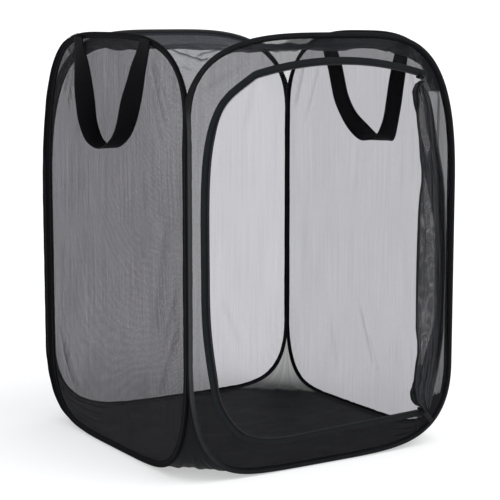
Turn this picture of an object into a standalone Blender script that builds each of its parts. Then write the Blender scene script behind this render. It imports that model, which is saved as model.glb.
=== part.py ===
"""Pop-up mesh insect cage: four sprung wire hoops in fabric bindings, mesh walls, a sagging mesh roof, a fabric floor,
a D-shaped zip door gathered at the right, and two webbing handles.

Frame: metres, +Z up, front wall at -Y, left wall at -X, origin at the centre of the floor's underside.
"""

import math

import bmesh
import bpy
from mathutils import Matrix, Vector

# ---- driving dimensions -------------------------------------------------------------------------------------------
WIDTH = 0.400  # outside, hoop to hoop
HEIGHT = 0.540
HALF = WIDTH / 2
SLAB = 0.0026  # half thickness of a bound edge
SIDE_HALF = HALF - 2 * SLAB - 0.0006  # half width of the two side hoops, which stand between front and back
FLOOR_THICK = 0.0010
HOOP_FOOT = 0.0013  # lowest point of a hoop, just above the floor fabric
GAP = 0.0003

# corner shapes (across exponent, up exponent, rise)
TOP_TIGHT = (3.16, 2.6, 0.107)
TOP_ROUND = (4.46, 2.6, 0.219)
TOP_BACK_RIGHT = (3.10, 2.5, 0.123)
TOP_FRONT_RIGHT = (4.46, 2.6, 0.205)  # on the front hoop
TOP_RIGHT_FRONT = (3.00, 2.5, 0.185)  # the same corner on the right hoop, which falls away sooner
FOOT_ROUND = (5.64, 2.4, 0.1505)
FOOT_TIGHT = (4.35, 2.4, 0.108)
FOOT_BACK_RIGHT = (6.40, 2.4, 0.100)
POINTS_A_QUARTER = 10

WIRE_RADIUS = 0.0012
WIRE_INSET = 0.0026  # wire centre behind the binding's outer edge
BINDING_WIDTH = 0.0080
BINDING_FLANGE = 0.0012  # half thickness over the two flanges
BINDING_SLOT = 0.0006  # half width of the slot that holds the mesh
BINDING_WALL = 0.00055
MESH_THICK = 0.0006
MESH_EDGE = 0.0050  # the mesh ends this far inside the outer edge

FERRULE_RADIUS = 0.00175
FERRULE_WALL = 0.00025
FERRULE_LENGTH = 0.016
FERRULE_HEIGHT = 0.240

ROOF_HALF = 0.1940
ROOF_SAG = 0.018
ROOF_CELLS = 16

# zip line of the door (the coil's centre): an arc over the top, a rounded left side, a straight bottom run
ZIP_ARC_CENTRE = (0.012, 0.022)
ZIP_ARC_RADIUS = 0.480
ZIP_ARC_FROM, ZIP_ARC_TO = 0.148, -0.105
ZIP_LEFT = [(-0.1408, 0.4635), (-0.1579, 0.4402), (-0.1682, 0.4056), (-0.1728, 0.3550), (-0.1732, 0.2700), (-0.1716, 0.1950),
            (-0.1626, 0.1288), (-0.1529, 0.0934), (-0.1274, 0.0601), (-0.0963, 0.0470)]
ZIP_BOTTOM_LEFT, ZIP_BOTTOM_RIGHT = (-0.060, 0.0433), (0.158, 0.04974)
ZIP_TAPE_OUT, ZIP_TAPE_IN = 0.0089, 0.0006  # tape edges either side of the coil's centre
ZIP_TAPE_THICK = 0.0008
COIL_RADIUS = 0.0011
TAPE_Y = -0.1984
COIL_Y = -0.2002
DOOR_HOLE_OUT = 0.0049  # the mesh opening's edge, under the tape
DOOR_HOLE_RIGHT = [(0.1600, 0.4770), (0.1680, 0.4600), (0.1710, 0.4350), (0.1710, 0.0900), (0.1665, 0.0620)]

SLIDER_LONG, SLIDER_WIDE = 0.0090, 0.0070
UPPER_SLIDER_X, LOWER_SLIDER_X = 0.1395, 0.1501
TAB_LENGTH, TAB_HALF, TAB_THICK = 0.022, 0.0034, 0.0008
UPPER_TAB_HANG, LOWER_TAB_HANG = (0.379, -0.925), (0.600, -0.800)  # the pull tabs' directions in the plane of the wall
TAB_TILT = math.radians(12)

DOOR_HINGE = (0.176, -0.2015)
ROLL_LOW, ROLL_HIGH, ROLL_Y = 0.070, 0.452, -0.2135
ROLL_CENTRE = [(0.070, 0.1400), (0.120, 0.1480), (0.200, 0.1510), (0.340, 0.1510), (0.400, 0.1460), (0.452, 0.1370)]
ROLL_HALF_WIDTH = [(0.070, 0.0080), (0.120, 0.0165), (0.200, 0.0205), (0.340, 0.0205), (0.400, 0.0165), (0.452, 0.0085)]
ROLL_DEPTH_RATIO = 0.46

STRAP_WIDTH, STRAP_THICK = 0.025, 0.0016
STRAP_HINGE_Z = 0.5335  # the straps are sewn down along this line
STRAP_OUT = 0.0013  # strap centre outside the wall's face where it lies flat
# across, height and turn in degrees: flat on the wall at both sewn ends, half a turn between them, edge-on at the bottom
LEFT_STRAP = [(-0.0990, 0.5335, 0), (-0.0988, 0.5270, 0), (-0.0940, 0.5120, 7), (-0.0885, 0.4957, 18), (-0.0848, 0.4770, 32),
              (-0.0816, 0.4591, 52), (-0.0742, 0.4339, 78), (-0.0595, 0.4145, 88), (-0.0385, 0.4015, 90), (-0.0160, 0.3965, 90),
              (0.0068, 0.4005, 90), (0.0211, 0.4092, 92), (0.0340, 0.4270, 98), (0.0430, 0.4530, 116), (0.0554, 0.4784, 140),
              (0.0660, 0.4970, 157), (0.0780, 0.5150, 172), (0.0832, 0.5270, 180), (0.0834, 0.5335, 180)]
RIGHT_STRAP = [(-0.0850, 0.5335, 0), (-0.0848, 0.5270, 0), (-0.0790, 0.5120, 4), (-0.0700, 0.4900, 14), (-0.0625, 0.4650, 19),
               (-0.0578, 0.4429, 20), (-0.0510, 0.4160, 20), (-0.0380, 0.3985, 42), (-0.0215, 0.3908, 75), (-0.0050, 0.3888, 90),
               (0.0125, 0.3925, 118), (0.0300, 0.4050, 150), (0.0470, 0.4200, 162), (0.0662, 0.4435, 160), (0.0760, 0.4680, 160),
               (0.0833, 0.4890, 162), (0.0960, 0.5150, 168), (0.1015, 0.5270, 180), (0.1017, 0.5335, 180)]

BLACK_BINDING = (0.018, 0.018, 0.021)
BLACK_MESH = (0.020, 0.020, 0.022)
BLACK_FABRIC = (0.014, 0.014, 0.016)
BLACK_WEBBING = (0.011, 0.011, 0.013)
BLACK_TAPE = (0.010, 0.010, 0.011)
BLACK_PLASTIC = (0.016, 0.016, 0.018)
SPRING_STEEL = (0.44, 0.44, 0.46)
SLIDER_METAL = (0.055, 0.055, 0.060)
TAB_METAL = (0.30, 0.30, 0.31)

for old in list(bpy.data.objects):
    bpy.data.objects.remove(old, do_unlink=True)
cage = bpy.data.collections.new("insect_cage")
cutters = bpy.data.collections.new("cutters")
for group in (cage, cutters):
    bpy.context.scene.collection.children.link(group)


# ---- small helpers ------------------------------------------------------------------------------------------------
def finish(name, colour, roughness, metallic=0.0):
    material = bpy.data.materials.new(name)
    material.use_nodes = True
    shader = material.node_tree.nodes["Principled BSDF"]
    shader.inputs["Base Color"].default_value = (*colour, 1.0)
    shader.inputs["Roughness"].default_value = roughness
    shader.inputs["Metallic"].default_value = metallic
    return material


def add(name, data, material=None, group=cage):
    obj = bpy.data.objects.new(name, data)
    group.objects.link(obj)
    if material:
        data.materials.append(material)
    if group is cutters:
        obj.hide_render = True
        obj.display_type = "WIRE"
    return obj


def as_mesh(obj, flat_faces=False):
    """The object's evaluated shape as a closed mesh, in place of a curve. flat_faces splits skewed faces into triangles."""
    bpy.context.view_layer.update()
    mesh = bpy.data.meshes.new_from_object(obj.evaluated_get(bpy.context.evaluated_depsgraph_get()))
    bm = bmesh.new()
    bm.from_mesh(mesh)
    bmesh.ops.remove_doubles(bm, verts=bm.verts, dist=1e-6)
    bmesh.ops.recalc_face_normals(bm, faces=bm.faces)
    if flat_faces:
        bmesh.ops.triangulate(bm, faces=bm.faces)
    bm.to_mesh(mesh)
    bm.free()
    name, material, matrix = obj.name, obj.data.materials[0], obj.matrix_world.copy()
    bpy.data.objects.remove(obj, do_unlink=True)
    solid = bpy.data.objects.new(name, mesh)
    cage.objects.link(solid)
    solid.matrix_world = matrix
    if not mesh.materials:
        mesh.materials.append(material)
    mesh.shade_smooth()
    mesh.set_sharp_from_angle(angle=math.radians(35))
    return solid


def path_curve(points, cyclic=False, depth=0.0, resolution=2, tilts=None):
    """A POLY spline through points of the local XY plane (or just off it), swept with the local Z as up."""
    curve = bpy.data.curves.new("path", "CURVE")
    curve.dimensions = "3D"
    curve.twist_mode = "Z_UP"
    curve.use_fill_caps = True
    curve.bevel_depth = depth
    curve.bevel_resolution = resolution
    spline = curve.splines.new("POLY")
    spline.points.add(len(points) - 1)
    for k, point in enumerate(points):
        spline.points[k].co = (point[0], point[1], point[2] if len(point) > 2 else 0.0, 1.0)
        if tilts:
            spline.points[k].tilt = tilts[k]
    spline.use_cyclic_u = cyclic
    return curve


def flat_curve(loops, half_thick):
    """Flat outlines filled between outer edge and holes, with a thickness."""
    curve = bpy.data.curves.new("outline", "CURVE")
    curve.dimensions = "2D"
    curve.fill_mode = "BOTH"
    curve.extrude = half_thick
    for loop in loops:
        spline = curve.splines.new("POLY")
        spline.points.add(len(loop) - 1)
        for k, (x, y) in enumerate(loop):
            spline.points[k].co = (x, y, 0.0, 1.0)
        spline.use_cyclic_u = True
    return curve


def swept(name, path, section, material, place, cyclic=False, tilts=None):
    """A section curve carried along a path. The section's X points to the right of travel, its Y along local Z."""
    guide = add(name + "_section", flat_curve([section], 0.0), group=cutters)
    guide.data.fill_mode = "NONE" if guide.data.dimensions == "3D" else "BOTH"
    guide.data.dimensions = "3D"
    curve = path_curve(path, cyclic, tilts=tilts)
    curve.bevel_mode = "OBJECT"
    curve.bevel_object = guide
    obj = add(name, curve, material)
    obj.matrix_world = place
    solid = as_mesh(obj, flat_faces=tilts is not None)
    bpy.data.objects.remove(guide, do_unlink=True)
    return solid


def between(table, value):
    """Smooth interpolation of a short table of (key, value) pairs."""
    for (k0, v0), (k1, v1) in zip(table, table[1:]):
        if value <= k1 or (k1, v1) == table[-1]:
            t = min(max((value - k0) / (k1 - k0), 0.0), 1.0)
            return v0 + (v1 - v0) * t * t * (3 - 2 * t)
    return table[-1][1]


def spline_through(points, steps):
    """Catmull-Rom curve through the points, ends included."""
    pts = [Vector(p) for p in points]
    pts = [2 * pts[0] - pts[1]] + pts + [2 * pts[-1] - pts[-2]]
    out = []
    for a, b, c, d in zip(pts, pts[1:], pts[2:], pts[3:]):
        for k in range(steps):
            t = k / steps
            out.append(0.5 * (2 * b + (c - a) * t + (2 * a - 5 * b + 4 * c - d) * t * t + (3 * b - a - 3 * c + d) * t**3))
    out.append(pts[-2])
    return [tuple(p) for p in out]


def offset(points, distance, closed):
    """The 2D polyline moved to the left of travel."""
    count = len(points)
    out = []
    for k in range(count):
        before = points[k - 1] if closed or k else points[k]
        after = points[(k + 1) % count] if closed or k < count - 1 else points[k]
        here = Vector(points[k])
        normals = []
        for a, b in ((before, points[k]), (points[k], after)):
            d = Vector(b) - Vector(a)
            if d.length > 1e-9:
                normals.append(Vector((-d.y, d.x)).normalized())
        n = sum(normals, Vector((0.0, 0.0))).normalized()
        out.append(tuple(here + n * (distance / max(n.dot(normals[0]), 0.5))))
    return out


# ---- hoop outline -------------------------------------------------------------------------------------------------
def quarter(shape, half, count):
    """One quarter of a hoop from its upright side (half, 0) to its middle (0, rise), spaced by length and turn."""
    n, m, rise = shape
    dense = []
    for k in range(241):
        t = math.pi / 2 * k / 240
        dense.append(Vector((half * max(math.cos(t), 0.0) ** (2 / n), rise * math.sin(t) ** (2 / m))))
    measure = [0.0]
    last = None
    for a, b in zip(dense, dense[1:]):
        d = b - a
        turn = abs(last.angle_signed(d)) if last is not None else 0.0
        measure.append(measure[-1] + d.length / 0.045 + turn / 0.30)
        last = d
    out = []
    for k in range(count + 1):
        want = measure[-1] * k / count
        i = next(j for j, m_ in enumerate(measure) if m_ >= want - 1e-12)
        if i == 0:
            out.append(dense[0])
            continue
        f = (want - measure[i - 1]) / (measure[i] - measure[i - 1])
        out.append(dense[i - 1].lerp(dense[i], f))
    return out


def rise_at(shape, inset, half=HALF):
    """How far a corner's outline has risen (or still has to fall) at a distance in from the upright side."""
    n, m, rise = shape
    across = min(max(1.0 - inset / half, 0.0), 1.0)
    cos_t = across ** (n / 2)
    return rise * math.sqrt(max(1.0 - cos_t * cos_t, 0.0)) ** (2 / m)


def hoop(half, foot_minus, foot_plus, top_plus, top_minus):
    """Closed outline in (across, height), anticlockwise from the middle of the bottom."""
    up = lambda z: HOOP_FOOT + z * (HEIGHT - HOOP_FOOT) / HEIGHT
    loop = []
    for shape, side, top in ((foot_plus, 1, False), (top_plus, 1, True), (top_minus, -1, True), (foot_minus, -1, False)):
        points = [(side * p.x, HEIGHT - shape[2] + p.y if top else shape[2] - p.y) for p in quarter(shape, half, POINTS_A_QUARTER)]
        if (side > 0) != top:
            points.reverse()
        loop += points[:-1] if top == (side > 0) else points[1:]
    out = []
    for x, z in loop:
        if not out or (Vector((x, up(z))) - Vector(out[-1])).length > 1e-6:
            out.append((x, up(z)))
    if (Vector(out[0]) - Vector(out[-1])).length < 1e-6:
        out.pop()
    return out


BINDING_SECTION = []
for sign in (1, -1):
    k = SLAB * math.tan(math.pi / 8)
    inner = SLAB - BINDING_WALL
    ki = inner * math.tan(math.pi / 8)
    outside = [(0.0, k), (WIRE_INSET - k, SLAB), (WIRE_INSET + k, SLAB), (0.0051, BINDING_FLANGE), (BINDING_WIDTH, BINDING_FLANGE)]
    inside = [(BINDING_WIDTH, BINDING_SLOT), (WIRE_INSET + inner - 0.0001, BINDING_SLOT), (WIRE_INSET + ki, inner), (WIRE_INSET - ki, inner),
              (WIRE_INSET - inner, ki)]
    half_loop = [(-e, sign * w) for e, w in outside + inside]
    BINDING_SECTION += half_loop if sign > 0 else half_loop[::-1]

FRONT_PLACE = Matrix.Rotation(math.pi / 2, 4, "X")
SIDE_PLACE = Matrix.Rotation(math.pi / 2, 4, "Z") @ Matrix.Rotation(math.pi / 2, 4, "X")

binding_look = finish("edge_binding", BLACK_BINDING, 0.85)
mesh_look = finish("mesh_netting", BLACK_MESH, 0.80)
fabric_look = finish("floor_fabric", BLACK_FABRIC, 0.75)
webbing_look = finish("handle_webbing", BLACK_WEBBING, 0.82)
tape_look = finish("zip_tape", BLACK_TAPE, 0.88)
coil_look = finish("zip_coil", BLACK_PLASTIC, 0.40)
steel_look = finish("spring_steel", SPRING_STEEL, 0.30, 1.0)
slider_look = finish("slider_metal", SLIDER_METAL, 0.38, 1.0)
tab_look = finish("tab_metal", TAB_METAL, 0.32, 1.0)

FRONT_LOOP = hoop(HALF, FOOT_ROUND, FOOT_TIGHT, TOP_FRONT_RIGHT, TOP_TIGHT)
BACK_LOOP = hoop(HALF, FOOT_TIGHT, FOOT_BACK_RIGHT, TOP_BACK_RIGHT, TOP_ROUND)
LEFT_LOOP = hoop(SIDE_HALF, FOOT_ROUND, FOOT_TIGHT, TOP_ROUND, TOP_TIGHT)
RIGHT_LOOP = hoop(SIDE_HALF, FOOT_TIGHT, FOOT_BACK_RIGHT, TOP_BACK_RIGHT, TOP_RIGHT_FRONT)
MID = HALF - SLAB


# ---- zip line of the door -----------------------------------------------------------------------------------------
def arc_point(x):
    cx, cz = ZIP_ARC_CENTRE
    return (x, cz + math.sqrt(ZIP_ARC_RADIUS**2 - (x - cx) ** 2))


arc = [arc_point(ZIP_ARC_FROM + (ZIP_ARC_TO - ZIP_ARC_FROM) * k / 14) for k in range(15)]
left_run = spline_through([arc[-1]] + ZIP_LEFT + [ZIP_BOTTOM_LEFT], 2)
ZIP_LINE = arc + left_run[1:] + [
    tuple(Vector(ZIP_BOTTOM_LEFT).lerp(Vector(ZIP_BOTTOM_RIGHT), k / 4)) for k in range(1, 5)
]  # travels over the top, down the left and along the bottom: the opening is on its left
DOOR_HOLE = offset(ZIP_LINE, -DOOR_HOLE_OUT, False) + DOOR_HOLE_RIGHT[::-1]

# ---- four walls: wire, ferrule, binding, mesh ---------------------------------------------------------------------
for wall, loop, turn, shift in (
    ("front", FRONT_LOOP, FRONT_PLACE, Vector((0, -MID, 0))),
    ("back", BACK_LOOP, FRONT_PLACE, Vector((0, MID, 0))),
    ("left", LEFT_LOOP, SIDE_PLACE, Vector((-MID, 0, 0))),
    ("right", RIGHT_LOOP, SIDE_PLACE, Vector((MID, 0, 0))),
):
    place = Matrix.Translation(shift) @ turn
    wire_line = offset(loop, WIRE_INSET, True)
    wire = add(wall + "_hoop_wire", path_curve(wire_line, True, WIRE_RADIUS, 1), steel_look)
    wire.matrix_world = place
    as_mesh(wire)

    swept(wall + "_edge_binding", loop, BINDING_SECTION, binding_look, place, cyclic=True)

    ferrule_mesh = bpy.data.meshes.new("ferrule")
    bm = bmesh.new()
    bmesh.ops.create_cone(bm, cap_ends=False, segments=12, radius1=FERRULE_RADIUS, radius2=FERRULE_RADIUS, depth=FERRULE_LENGTH)
    bm.to_mesh(ferrule_mesh)
    bm.free()
    ferrule = add(wall + "_hoop_ferrule", ferrule_mesh, steel_look)
    half = max(x for x, _ in loop)
    ferrule.matrix_world = place @ Matrix.Translation((half - WIRE_INSET, FERRULE_HEIGHT, 0)) @ Matrix.Rotation(math.pi / 2, 4, "X")
    skin = ferrule.modifiers.new("wall", "SOLIDIFY")
    skin.thickness = FERRULE_WALL
    skin.offset = -1.0

    outline = offset(loop, MESH_EDGE, True)
    loops = [outline] + ([DOOR_HOLE] if wall == "front" else [])
    panel = add(wall + ("_surround_mesh" if wall == "front" else "_mesh_panel"), flat_curve(loops, MESH_THICK / 2), mesh_look)
    panel.matrix_world = place
    as_mesh(panel)

# ---- roof: one mesh sheet that drops into each corner and sags in the middle --------------------------------------
TOPS = {  # each corner: its shape on the front or back hoop, and on the side hoop
    (-1, -1): (TOP_TIGHT, TOP_TIGHT),
    (1, -1): (TOP_FRONT_RIGHT, TOP_RIGHT_FRONT),
    (-1, 1): (TOP_ROUND, TOP_ROUND),
    (1, 1): (TOP_BACK_RIGHT, TOP_BACK_RIGHT),
}
FEET = {(-1, -1): FOOT_ROUND, (1, -1): FOOT_TIGHT, (-1, 1): FOOT_TIGHT, (1, 1): FOOT_BACK_RIGHT}


def roof_height(x, y):
    taut = HEIGHT
    for (sx, sy), (wide_shape, side_shape) in TOPS.items():
        ex, ey = HALF - sx * x, HALF - sy * y
        share = ey / (ex + ey)
        drop = sum(part * (shape[2] - rise_at(shape, ex + ey)) for part, shape in ((1 - share, wide_shape), (share, side_shape)))
        taut = min(taut, HEIGHT - drop)
    sag = ROOF_SAG * (1 - abs(x / ROOF_HALF) ** 2.2) * (1 - abs(y / ROOF_HALF) ** 2.2)
    return taut - 0.0010 - sag


roof_mesh = bpy.data.meshes.new("roof")
bm = bmesh.new()
bmesh.ops.create_grid(bm, x_segments=ROOF_CELLS, y_segments=ROOF_CELLS, size=1.0)
for v in bm.verts:
    x, y = (ROOF_HALF * math.sin(c * math.pi / 2) for c in v.co[:2])
    v.co = (x, y, roof_height(x, y))
bm.to_mesh(roof_mesh)
bm.free()
roof = add("roof_mesh_panel", roof_mesh, mesh_look)
skin = roof.modifiers.new("thickness", "SOLIDIFY")
skin.thickness = MESH_THICK
skin.offset = 0.0

# ---- floor: flat fabric, and four corner webs that rise to the seams ----------------------------------------------
WEB_REACH = 0.100  # the flat floor ends at this distance from each corner, measured along both walls together
plan = []
for sx, sy in ((-1, -1), (1, -1), (1, 1), (-1, 1)):
    ends = [(sx * (HALF - WEB_REACH), sy * HALF), (sx * HALF, sy * (HALF - WEB_REACH))]
    plan += ends if sx * sy < 0 else ends[::-1]
floor = add("floor_panel", flat_curve([plan], FLOOR_THICK / 2), fabric_look)
floor.location.z = FLOOR_THICK / 2
as_mesh(floor)

for (sx, sy), shape in FEET.items():
    web_mesh = bpy.data.meshes.new("web")
    bm = bmesh.new()
    bmesh.ops.create_grid(bm, x_segments=7, y_segments=4, size=1.0)
    for v in bm.verts:
        reach = 0.0132 + (WEB_REACH - 0.0015 - 0.0132) * ((v.co.x + 1) / 2) ** 1.4
        slack = reach - 2 * (HALF - ROOF_HALF)
        ex = (HALF - ROOF_HALF) + slack * (1 + v.co.y) / 2
        ey = reach - ex
        z = max(shape[2] - rise_at(shape, reach), 0.0) + HOOP_FOOT + 0.0006
        v.co = (sx * (HALF - ex), sy * (HALF - ey), z)
    bm.to_mesh(web_mesh)
    bm.free()
    web = add("floor_web_" + ("front" if sy < 0 else "back") + ("_left" if sx < 0 else "_right"), web_mesh, fabric_look)
    skin = web.modifiers.new("thickness", "SOLIDIFY")
    skin.thickness = MESH_THICK
    skin.offset = 0.0

# ---- door zip on the frame ----------------------------------------------------------------------------------------
tape_outline = offset(ZIP_LINE, -ZIP_TAPE_OUT, False) + offset(ZIP_LINE, ZIP_TAPE_IN, False)[::-1]
tape = add("frame_zip_tape", flat_curve([tape_outline], ZIP_TAPE_THICK / 2), tape_look)
tape.matrix_world = Matrix.Translation((0, TAPE_Y, 0)) @ FRONT_PLACE
as_mesh(tape)
coil = add("frame_zip_coil", path_curve(ZIP_LINE, False, COIL_RADIUS, 1), coil_look)
coil.matrix_world = Matrix.Translation((0, COIL_Y, 0)) @ FRONT_PLACE
as_mesh(coil)


# ---- sliders and pull tabs ----------------------------------------------------------------------------------------
def block(name, size, centre, material=None, group=cage, bevel=0.0):
    mesh = bpy.data.meshes.new(name)
    bm = bmesh.new()
    bmesh.ops.create_cube(bm, size=1.0)
    bmesh.ops.scale(bm, vec=size, verts=bm.verts)
    bmesh.ops.translate(bm, vec=centre, verts=bm.verts)
    bm.to_mesh(mesh)
    bm.free()
    obj = add(name, mesh, material, group)
    if bevel:
        edge = obj.modifiers.new("edges", "BEVEL")
        edge.width = bevel
        edge.segments = 2
    return obj


def zip_slider(name, x, z, along, into):
    """Local X runs along the zip, Y into the opening, Z out of the wall; the origin is on the coil's centre."""
    body = block(name, (SLIDER_LONG, SLIDER_WIDE, 0.0055), (0, 0, -0.00055), slider_look, bevel=0.0007)
    frame = Matrix(((along[0], into[0], 0, x), (0, 0, -1, COIL_Y), (along[1], into[1], 0, z), (0, 0, 0, 1)))
    body.matrix_world = frame
    bpy.ops.mesh.primitive_torus_add(major_radius=0.0019, minor_radius=0.0005, major_segments=20, minor_segments=8)
    ring = bpy.context.active_object
    for held in list(ring.users_collection):
        held.objects.unlink(ring)
    cutters.objects.link(ring)
    ring.name = name + "_bridge"
    ring.hide_render = True
    ring.display_type = "WIRE"
    ring.matrix_world = frame @ Matrix.Translation((0, 0, 0.0021)) @ Matrix.Rotation(math.pi / 2, 4, "X")
    channel = block(name + "_channel", (0.02, 0.0074, 0.0039), (0, 0.0019 - 0.0037, -0.00055), group=cutters)
    channel.matrix_world = frame
    for kind, tool in (("UNION", ring), ("DIFFERENCE", channel)):
        cut = body.modifiers.new(kind.lower(), "BOOLEAN")
        cut.operation = kind
        cut.object = tool
    return body


def rounded_tab():
    """Tab outline with its pin slot, in local (across, down): the slot's near bar lies on the origin."""
    out = []
    for cx, cy, radius, start in ((TAB_HALF - 0.0012, 0.0008, 0.0012, -90), (TAB_HALF - 0.0016, TAB_LENGTH - 0.0020, 0.0016, 0),
                                  (-TAB_HALF + 0.0016, TAB_LENGTH - 0.0020, 0.0016, 90), (-TAB_HALF + 0.0012, 0.0008, 0.0012, 180)):
        for k in range(4):
            a = math.radians(start + 30 * k)
            out.append((cx + radius * math.cos(a), cy + radius * math.sin(a)))
    slot = [(-0.0025, 0.0004), (0.0025, 0.0004), (0.0025, 0.0036), (-0.0025, 0.0036)]
    return [out, slot[::-1]]


def pull_tab(name, x, z, towards):
    hang = Vector((towards[0], 0, towards[1])).normalized()
    out = Vector((0, -1, 0))
    down = hang * math.cos(TAB_TILT) + out * math.sin(TAB_TILT)
    face = out * math.cos(TAB_TILT) - hang * math.sin(TAB_TILT)
    across = down.cross(face)
    tab = add(name, flat_curve(rounded_tab(), TAB_THICK / 2), tab_look)
    turn = Matrix((across, down, face)).transposed().to_4x4()
    tab.matrix_world = Matrix.Translation((x, COIL_Y - 0.0029, z)) @ turn
    return as_mesh(tab)


radial = (Vector(arc_point(UPPER_SLIDER_X)) - Vector(ZIP_ARC_CENTRE)).normalized()
upper_at = arc_point(UPPER_SLIDER_X)
zip_slider("upper_slider", *upper_at, (-radial.y, radial.x), (-radial.x, -radial.y))
pull_tab("upper_pull_tab", *upper_at, UPPER_TAB_HANG)
run = (Vector(ZIP_BOTTOM_RIGHT) - Vector(ZIP_BOTTOM_LEFT)).normalized()
lower_at = tuple(Vector(ZIP_BOTTOM_LEFT) + run * ((LOWER_SLIDER_X - ZIP_BOTTOM_LEFT[0]) / run.x))
zip_slider("lower_slider", *lower_at, (run.x, run.y), (-run.y, run.x))
pull_tab("lower_pull_tab", *lower_at, LOWER_TAB_HANG)

# ---- gathered door: a bundle of mesh with its own half of the zip -------------------------------------------------
roll_mesh = bpy.data.meshes.new("roll")
bm = bmesh.new()
bmesh.ops.create_cone(bm, cap_ends=True, segments=18, radius1=1.0, radius2=1.0, depth=ROLL_HIGH - ROLL_LOW)
for k in range(1, 16):
    cut_z = (k / 16 - 0.5) * (ROLL_HIGH - ROLL_LOW)
    bmesh.ops.bisect_plane(bm, geom=bm.verts[:] + bm.edges[:] + bm.faces[:], plane_co=(0, 0, cut_z), plane_no=(0, 0, 1))
for v in bm.verts:
    z = v.co.z + (ROLL_LOW + ROLL_HIGH) / 2
    wide = between(ROLL_HALF_WIDTH, z)
    v.co = (between(ROLL_CENTRE, z) + wide * v.co.x - DOOR_HINGE[0], ROLL_Y + wide * ROLL_DEPTH_RATIO * v.co.y - DOOR_HINGE[1], z)
bm.to_mesh(roll_mesh)
bm.free()
roll = add("door_mesh", roll_mesh, mesh_look)
roll.location = (*DOOR_HINGE, 0)

edge_line = []
for k in range(21):
    z = 0.446 + (0.076 - 0.446) * k / 20
    edge_line.append((between(ROLL_CENTRE, z) - between(ROLL_HALF_WIDTH, z) - 0.0009, z))
door_tape = swept("door_zip_tape", edge_line, [(-0.0004, -0.005), (0.0004, -0.005), (0.0004, 0.005), (-0.0004, 0.005)], tape_look,
                  Matrix.Translation((0, -0.2125, 0)) @ FRONT_PLACE)
door_coil = add("door_zip_coil", path_curve(edge_line, False, COIL_RADIUS, 1), coil_look)
door_coil.matrix_world = Matrix.Translation((0, -0.2125 - 0.005 - GAP - COIL_RADIUS, 0)) @ FRONT_PLACE
as_mesh(door_coil)

# ---- webbing handles: flat on the wall at the seam, turned edge-on at the bottom of the loop -----------------------
for side, sign, points in (("left", -1, LEFT_STRAP), ("right", 1, RIGHT_STRAP)):
    path, tilts = [], []
    for y, z, turn in spline_through(points, 3):
        turn = math.radians(turn)
        path.append((y, z - STRAP_HINGE_Z, sign * STRAP_WIDTH / 2 * math.sin(turn)))
        tilts.append(-turn)
    half_w, half_t = STRAP_WIDTH / 2, STRAP_THICK / 2
    swept(side + "_handle", path, [(-half_w, -half_t), (half_w, -half_t), (half_w, half_t), (-half_w, half_t)], webbing_look,
          Matrix.Translation((sign * (HALF + STRAP_OUT), 0, STRAP_HINGE_Z)) @ SIDE_PLACE, tilts=tilts)
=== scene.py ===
"""Looks of a pop-up mesh insect cage: netting walls and roof, fabric edge bindings, zip door gathered at the right, webbing handles."""
import math

import bmesh
import bpy
import numpy as np
from mathutils import Matrix, Vector, noise


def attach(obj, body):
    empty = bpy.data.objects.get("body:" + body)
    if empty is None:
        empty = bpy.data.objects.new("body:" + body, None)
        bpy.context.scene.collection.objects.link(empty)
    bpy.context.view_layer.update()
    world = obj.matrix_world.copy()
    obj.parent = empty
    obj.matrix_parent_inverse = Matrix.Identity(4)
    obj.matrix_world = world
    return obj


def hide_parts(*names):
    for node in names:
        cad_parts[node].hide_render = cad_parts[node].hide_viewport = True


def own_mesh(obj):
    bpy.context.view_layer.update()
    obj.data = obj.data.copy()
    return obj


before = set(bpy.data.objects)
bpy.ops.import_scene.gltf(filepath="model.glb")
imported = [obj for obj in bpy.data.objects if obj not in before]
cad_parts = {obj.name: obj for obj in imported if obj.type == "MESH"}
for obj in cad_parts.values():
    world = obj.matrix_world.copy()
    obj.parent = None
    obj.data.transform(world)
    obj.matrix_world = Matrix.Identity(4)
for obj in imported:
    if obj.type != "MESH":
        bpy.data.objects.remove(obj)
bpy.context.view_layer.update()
scene = bpy.context.scene

# ---------------------------------------------------------------------------------------------------------- dimensions
HEIGHT, HALF, SLAB = 0.540, 0.200, 0.0026
SIDE_HALF = HALF - 2 * SLAB - 0.0006
MID = HALF - SLAB
HOOP_FOOT = 0.0013
TOP_TIGHT, TOP_ROUND = (3.16, 2.6, 0.107), (4.46, 2.6, 0.219)
FOOT_ROUND, FOOT_TIGHT, FOOT_BACK_RIGHT = (5.64, 2.4, 0.1505), (4.35, 2.4, 0.108), (6.40, 2.4, 0.100)
TOP_BACK_RIGHT, TOP_FRONT_RIGHT, TOP_RIGHT_FRONT = (3.10, 2.5, 0.123), (4.46, 2.6, 0.205), (3.00, 2.5, 0.185)
TOPS = {  # each corner: its shape on the front or back hoop, and on the side hoop
    (-1, -1): (TOP_TIGHT, TOP_TIGHT),
    (1, -1): (TOP_FRONT_RIGHT, TOP_RIGHT_FRONT),
    (-1, 1): (TOP_ROUND, TOP_ROUND),
    (1, 1): (TOP_BACK_RIGHT, TOP_BACK_RIGHT),
}
FEET = {(-1, -1): FOOT_ROUND, (1, -1): FOOT_TIGHT, (-1, 1): FOOT_TIGHT, (1, 1): FOOT_BACK_RIGHT}
ROOF_HALF, ROOF_SAG = 0.1940, 0.018
WEB_REACH = 0.100
BINDING_WIDTH = 0.0080

# ---------------------------------------------------------------------------------------------------------- camera
cam_data = bpy.data.cameras.new("camera")
cam_data.lens = 113.2
cam_data.sensor_width = 36.0
cam_data.clip_end = 200.0
camera = bpy.data.objects.new("camera", cam_data)
scene.collection.objects.link(camera)
camera.location = (-1.1022, -1.7859, 0.5652)
camera.rotation_euler = (math.pi / 2 - 0.1503, 0.0, -0.5569)
scene.camera = camera


# ---------------------------------------------------------------------------------------------------------- helpers
def smooth(t):
    t = np.clip(t, 0.0, 1.0)
    return t * t * (3 - 2 * t)


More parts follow.
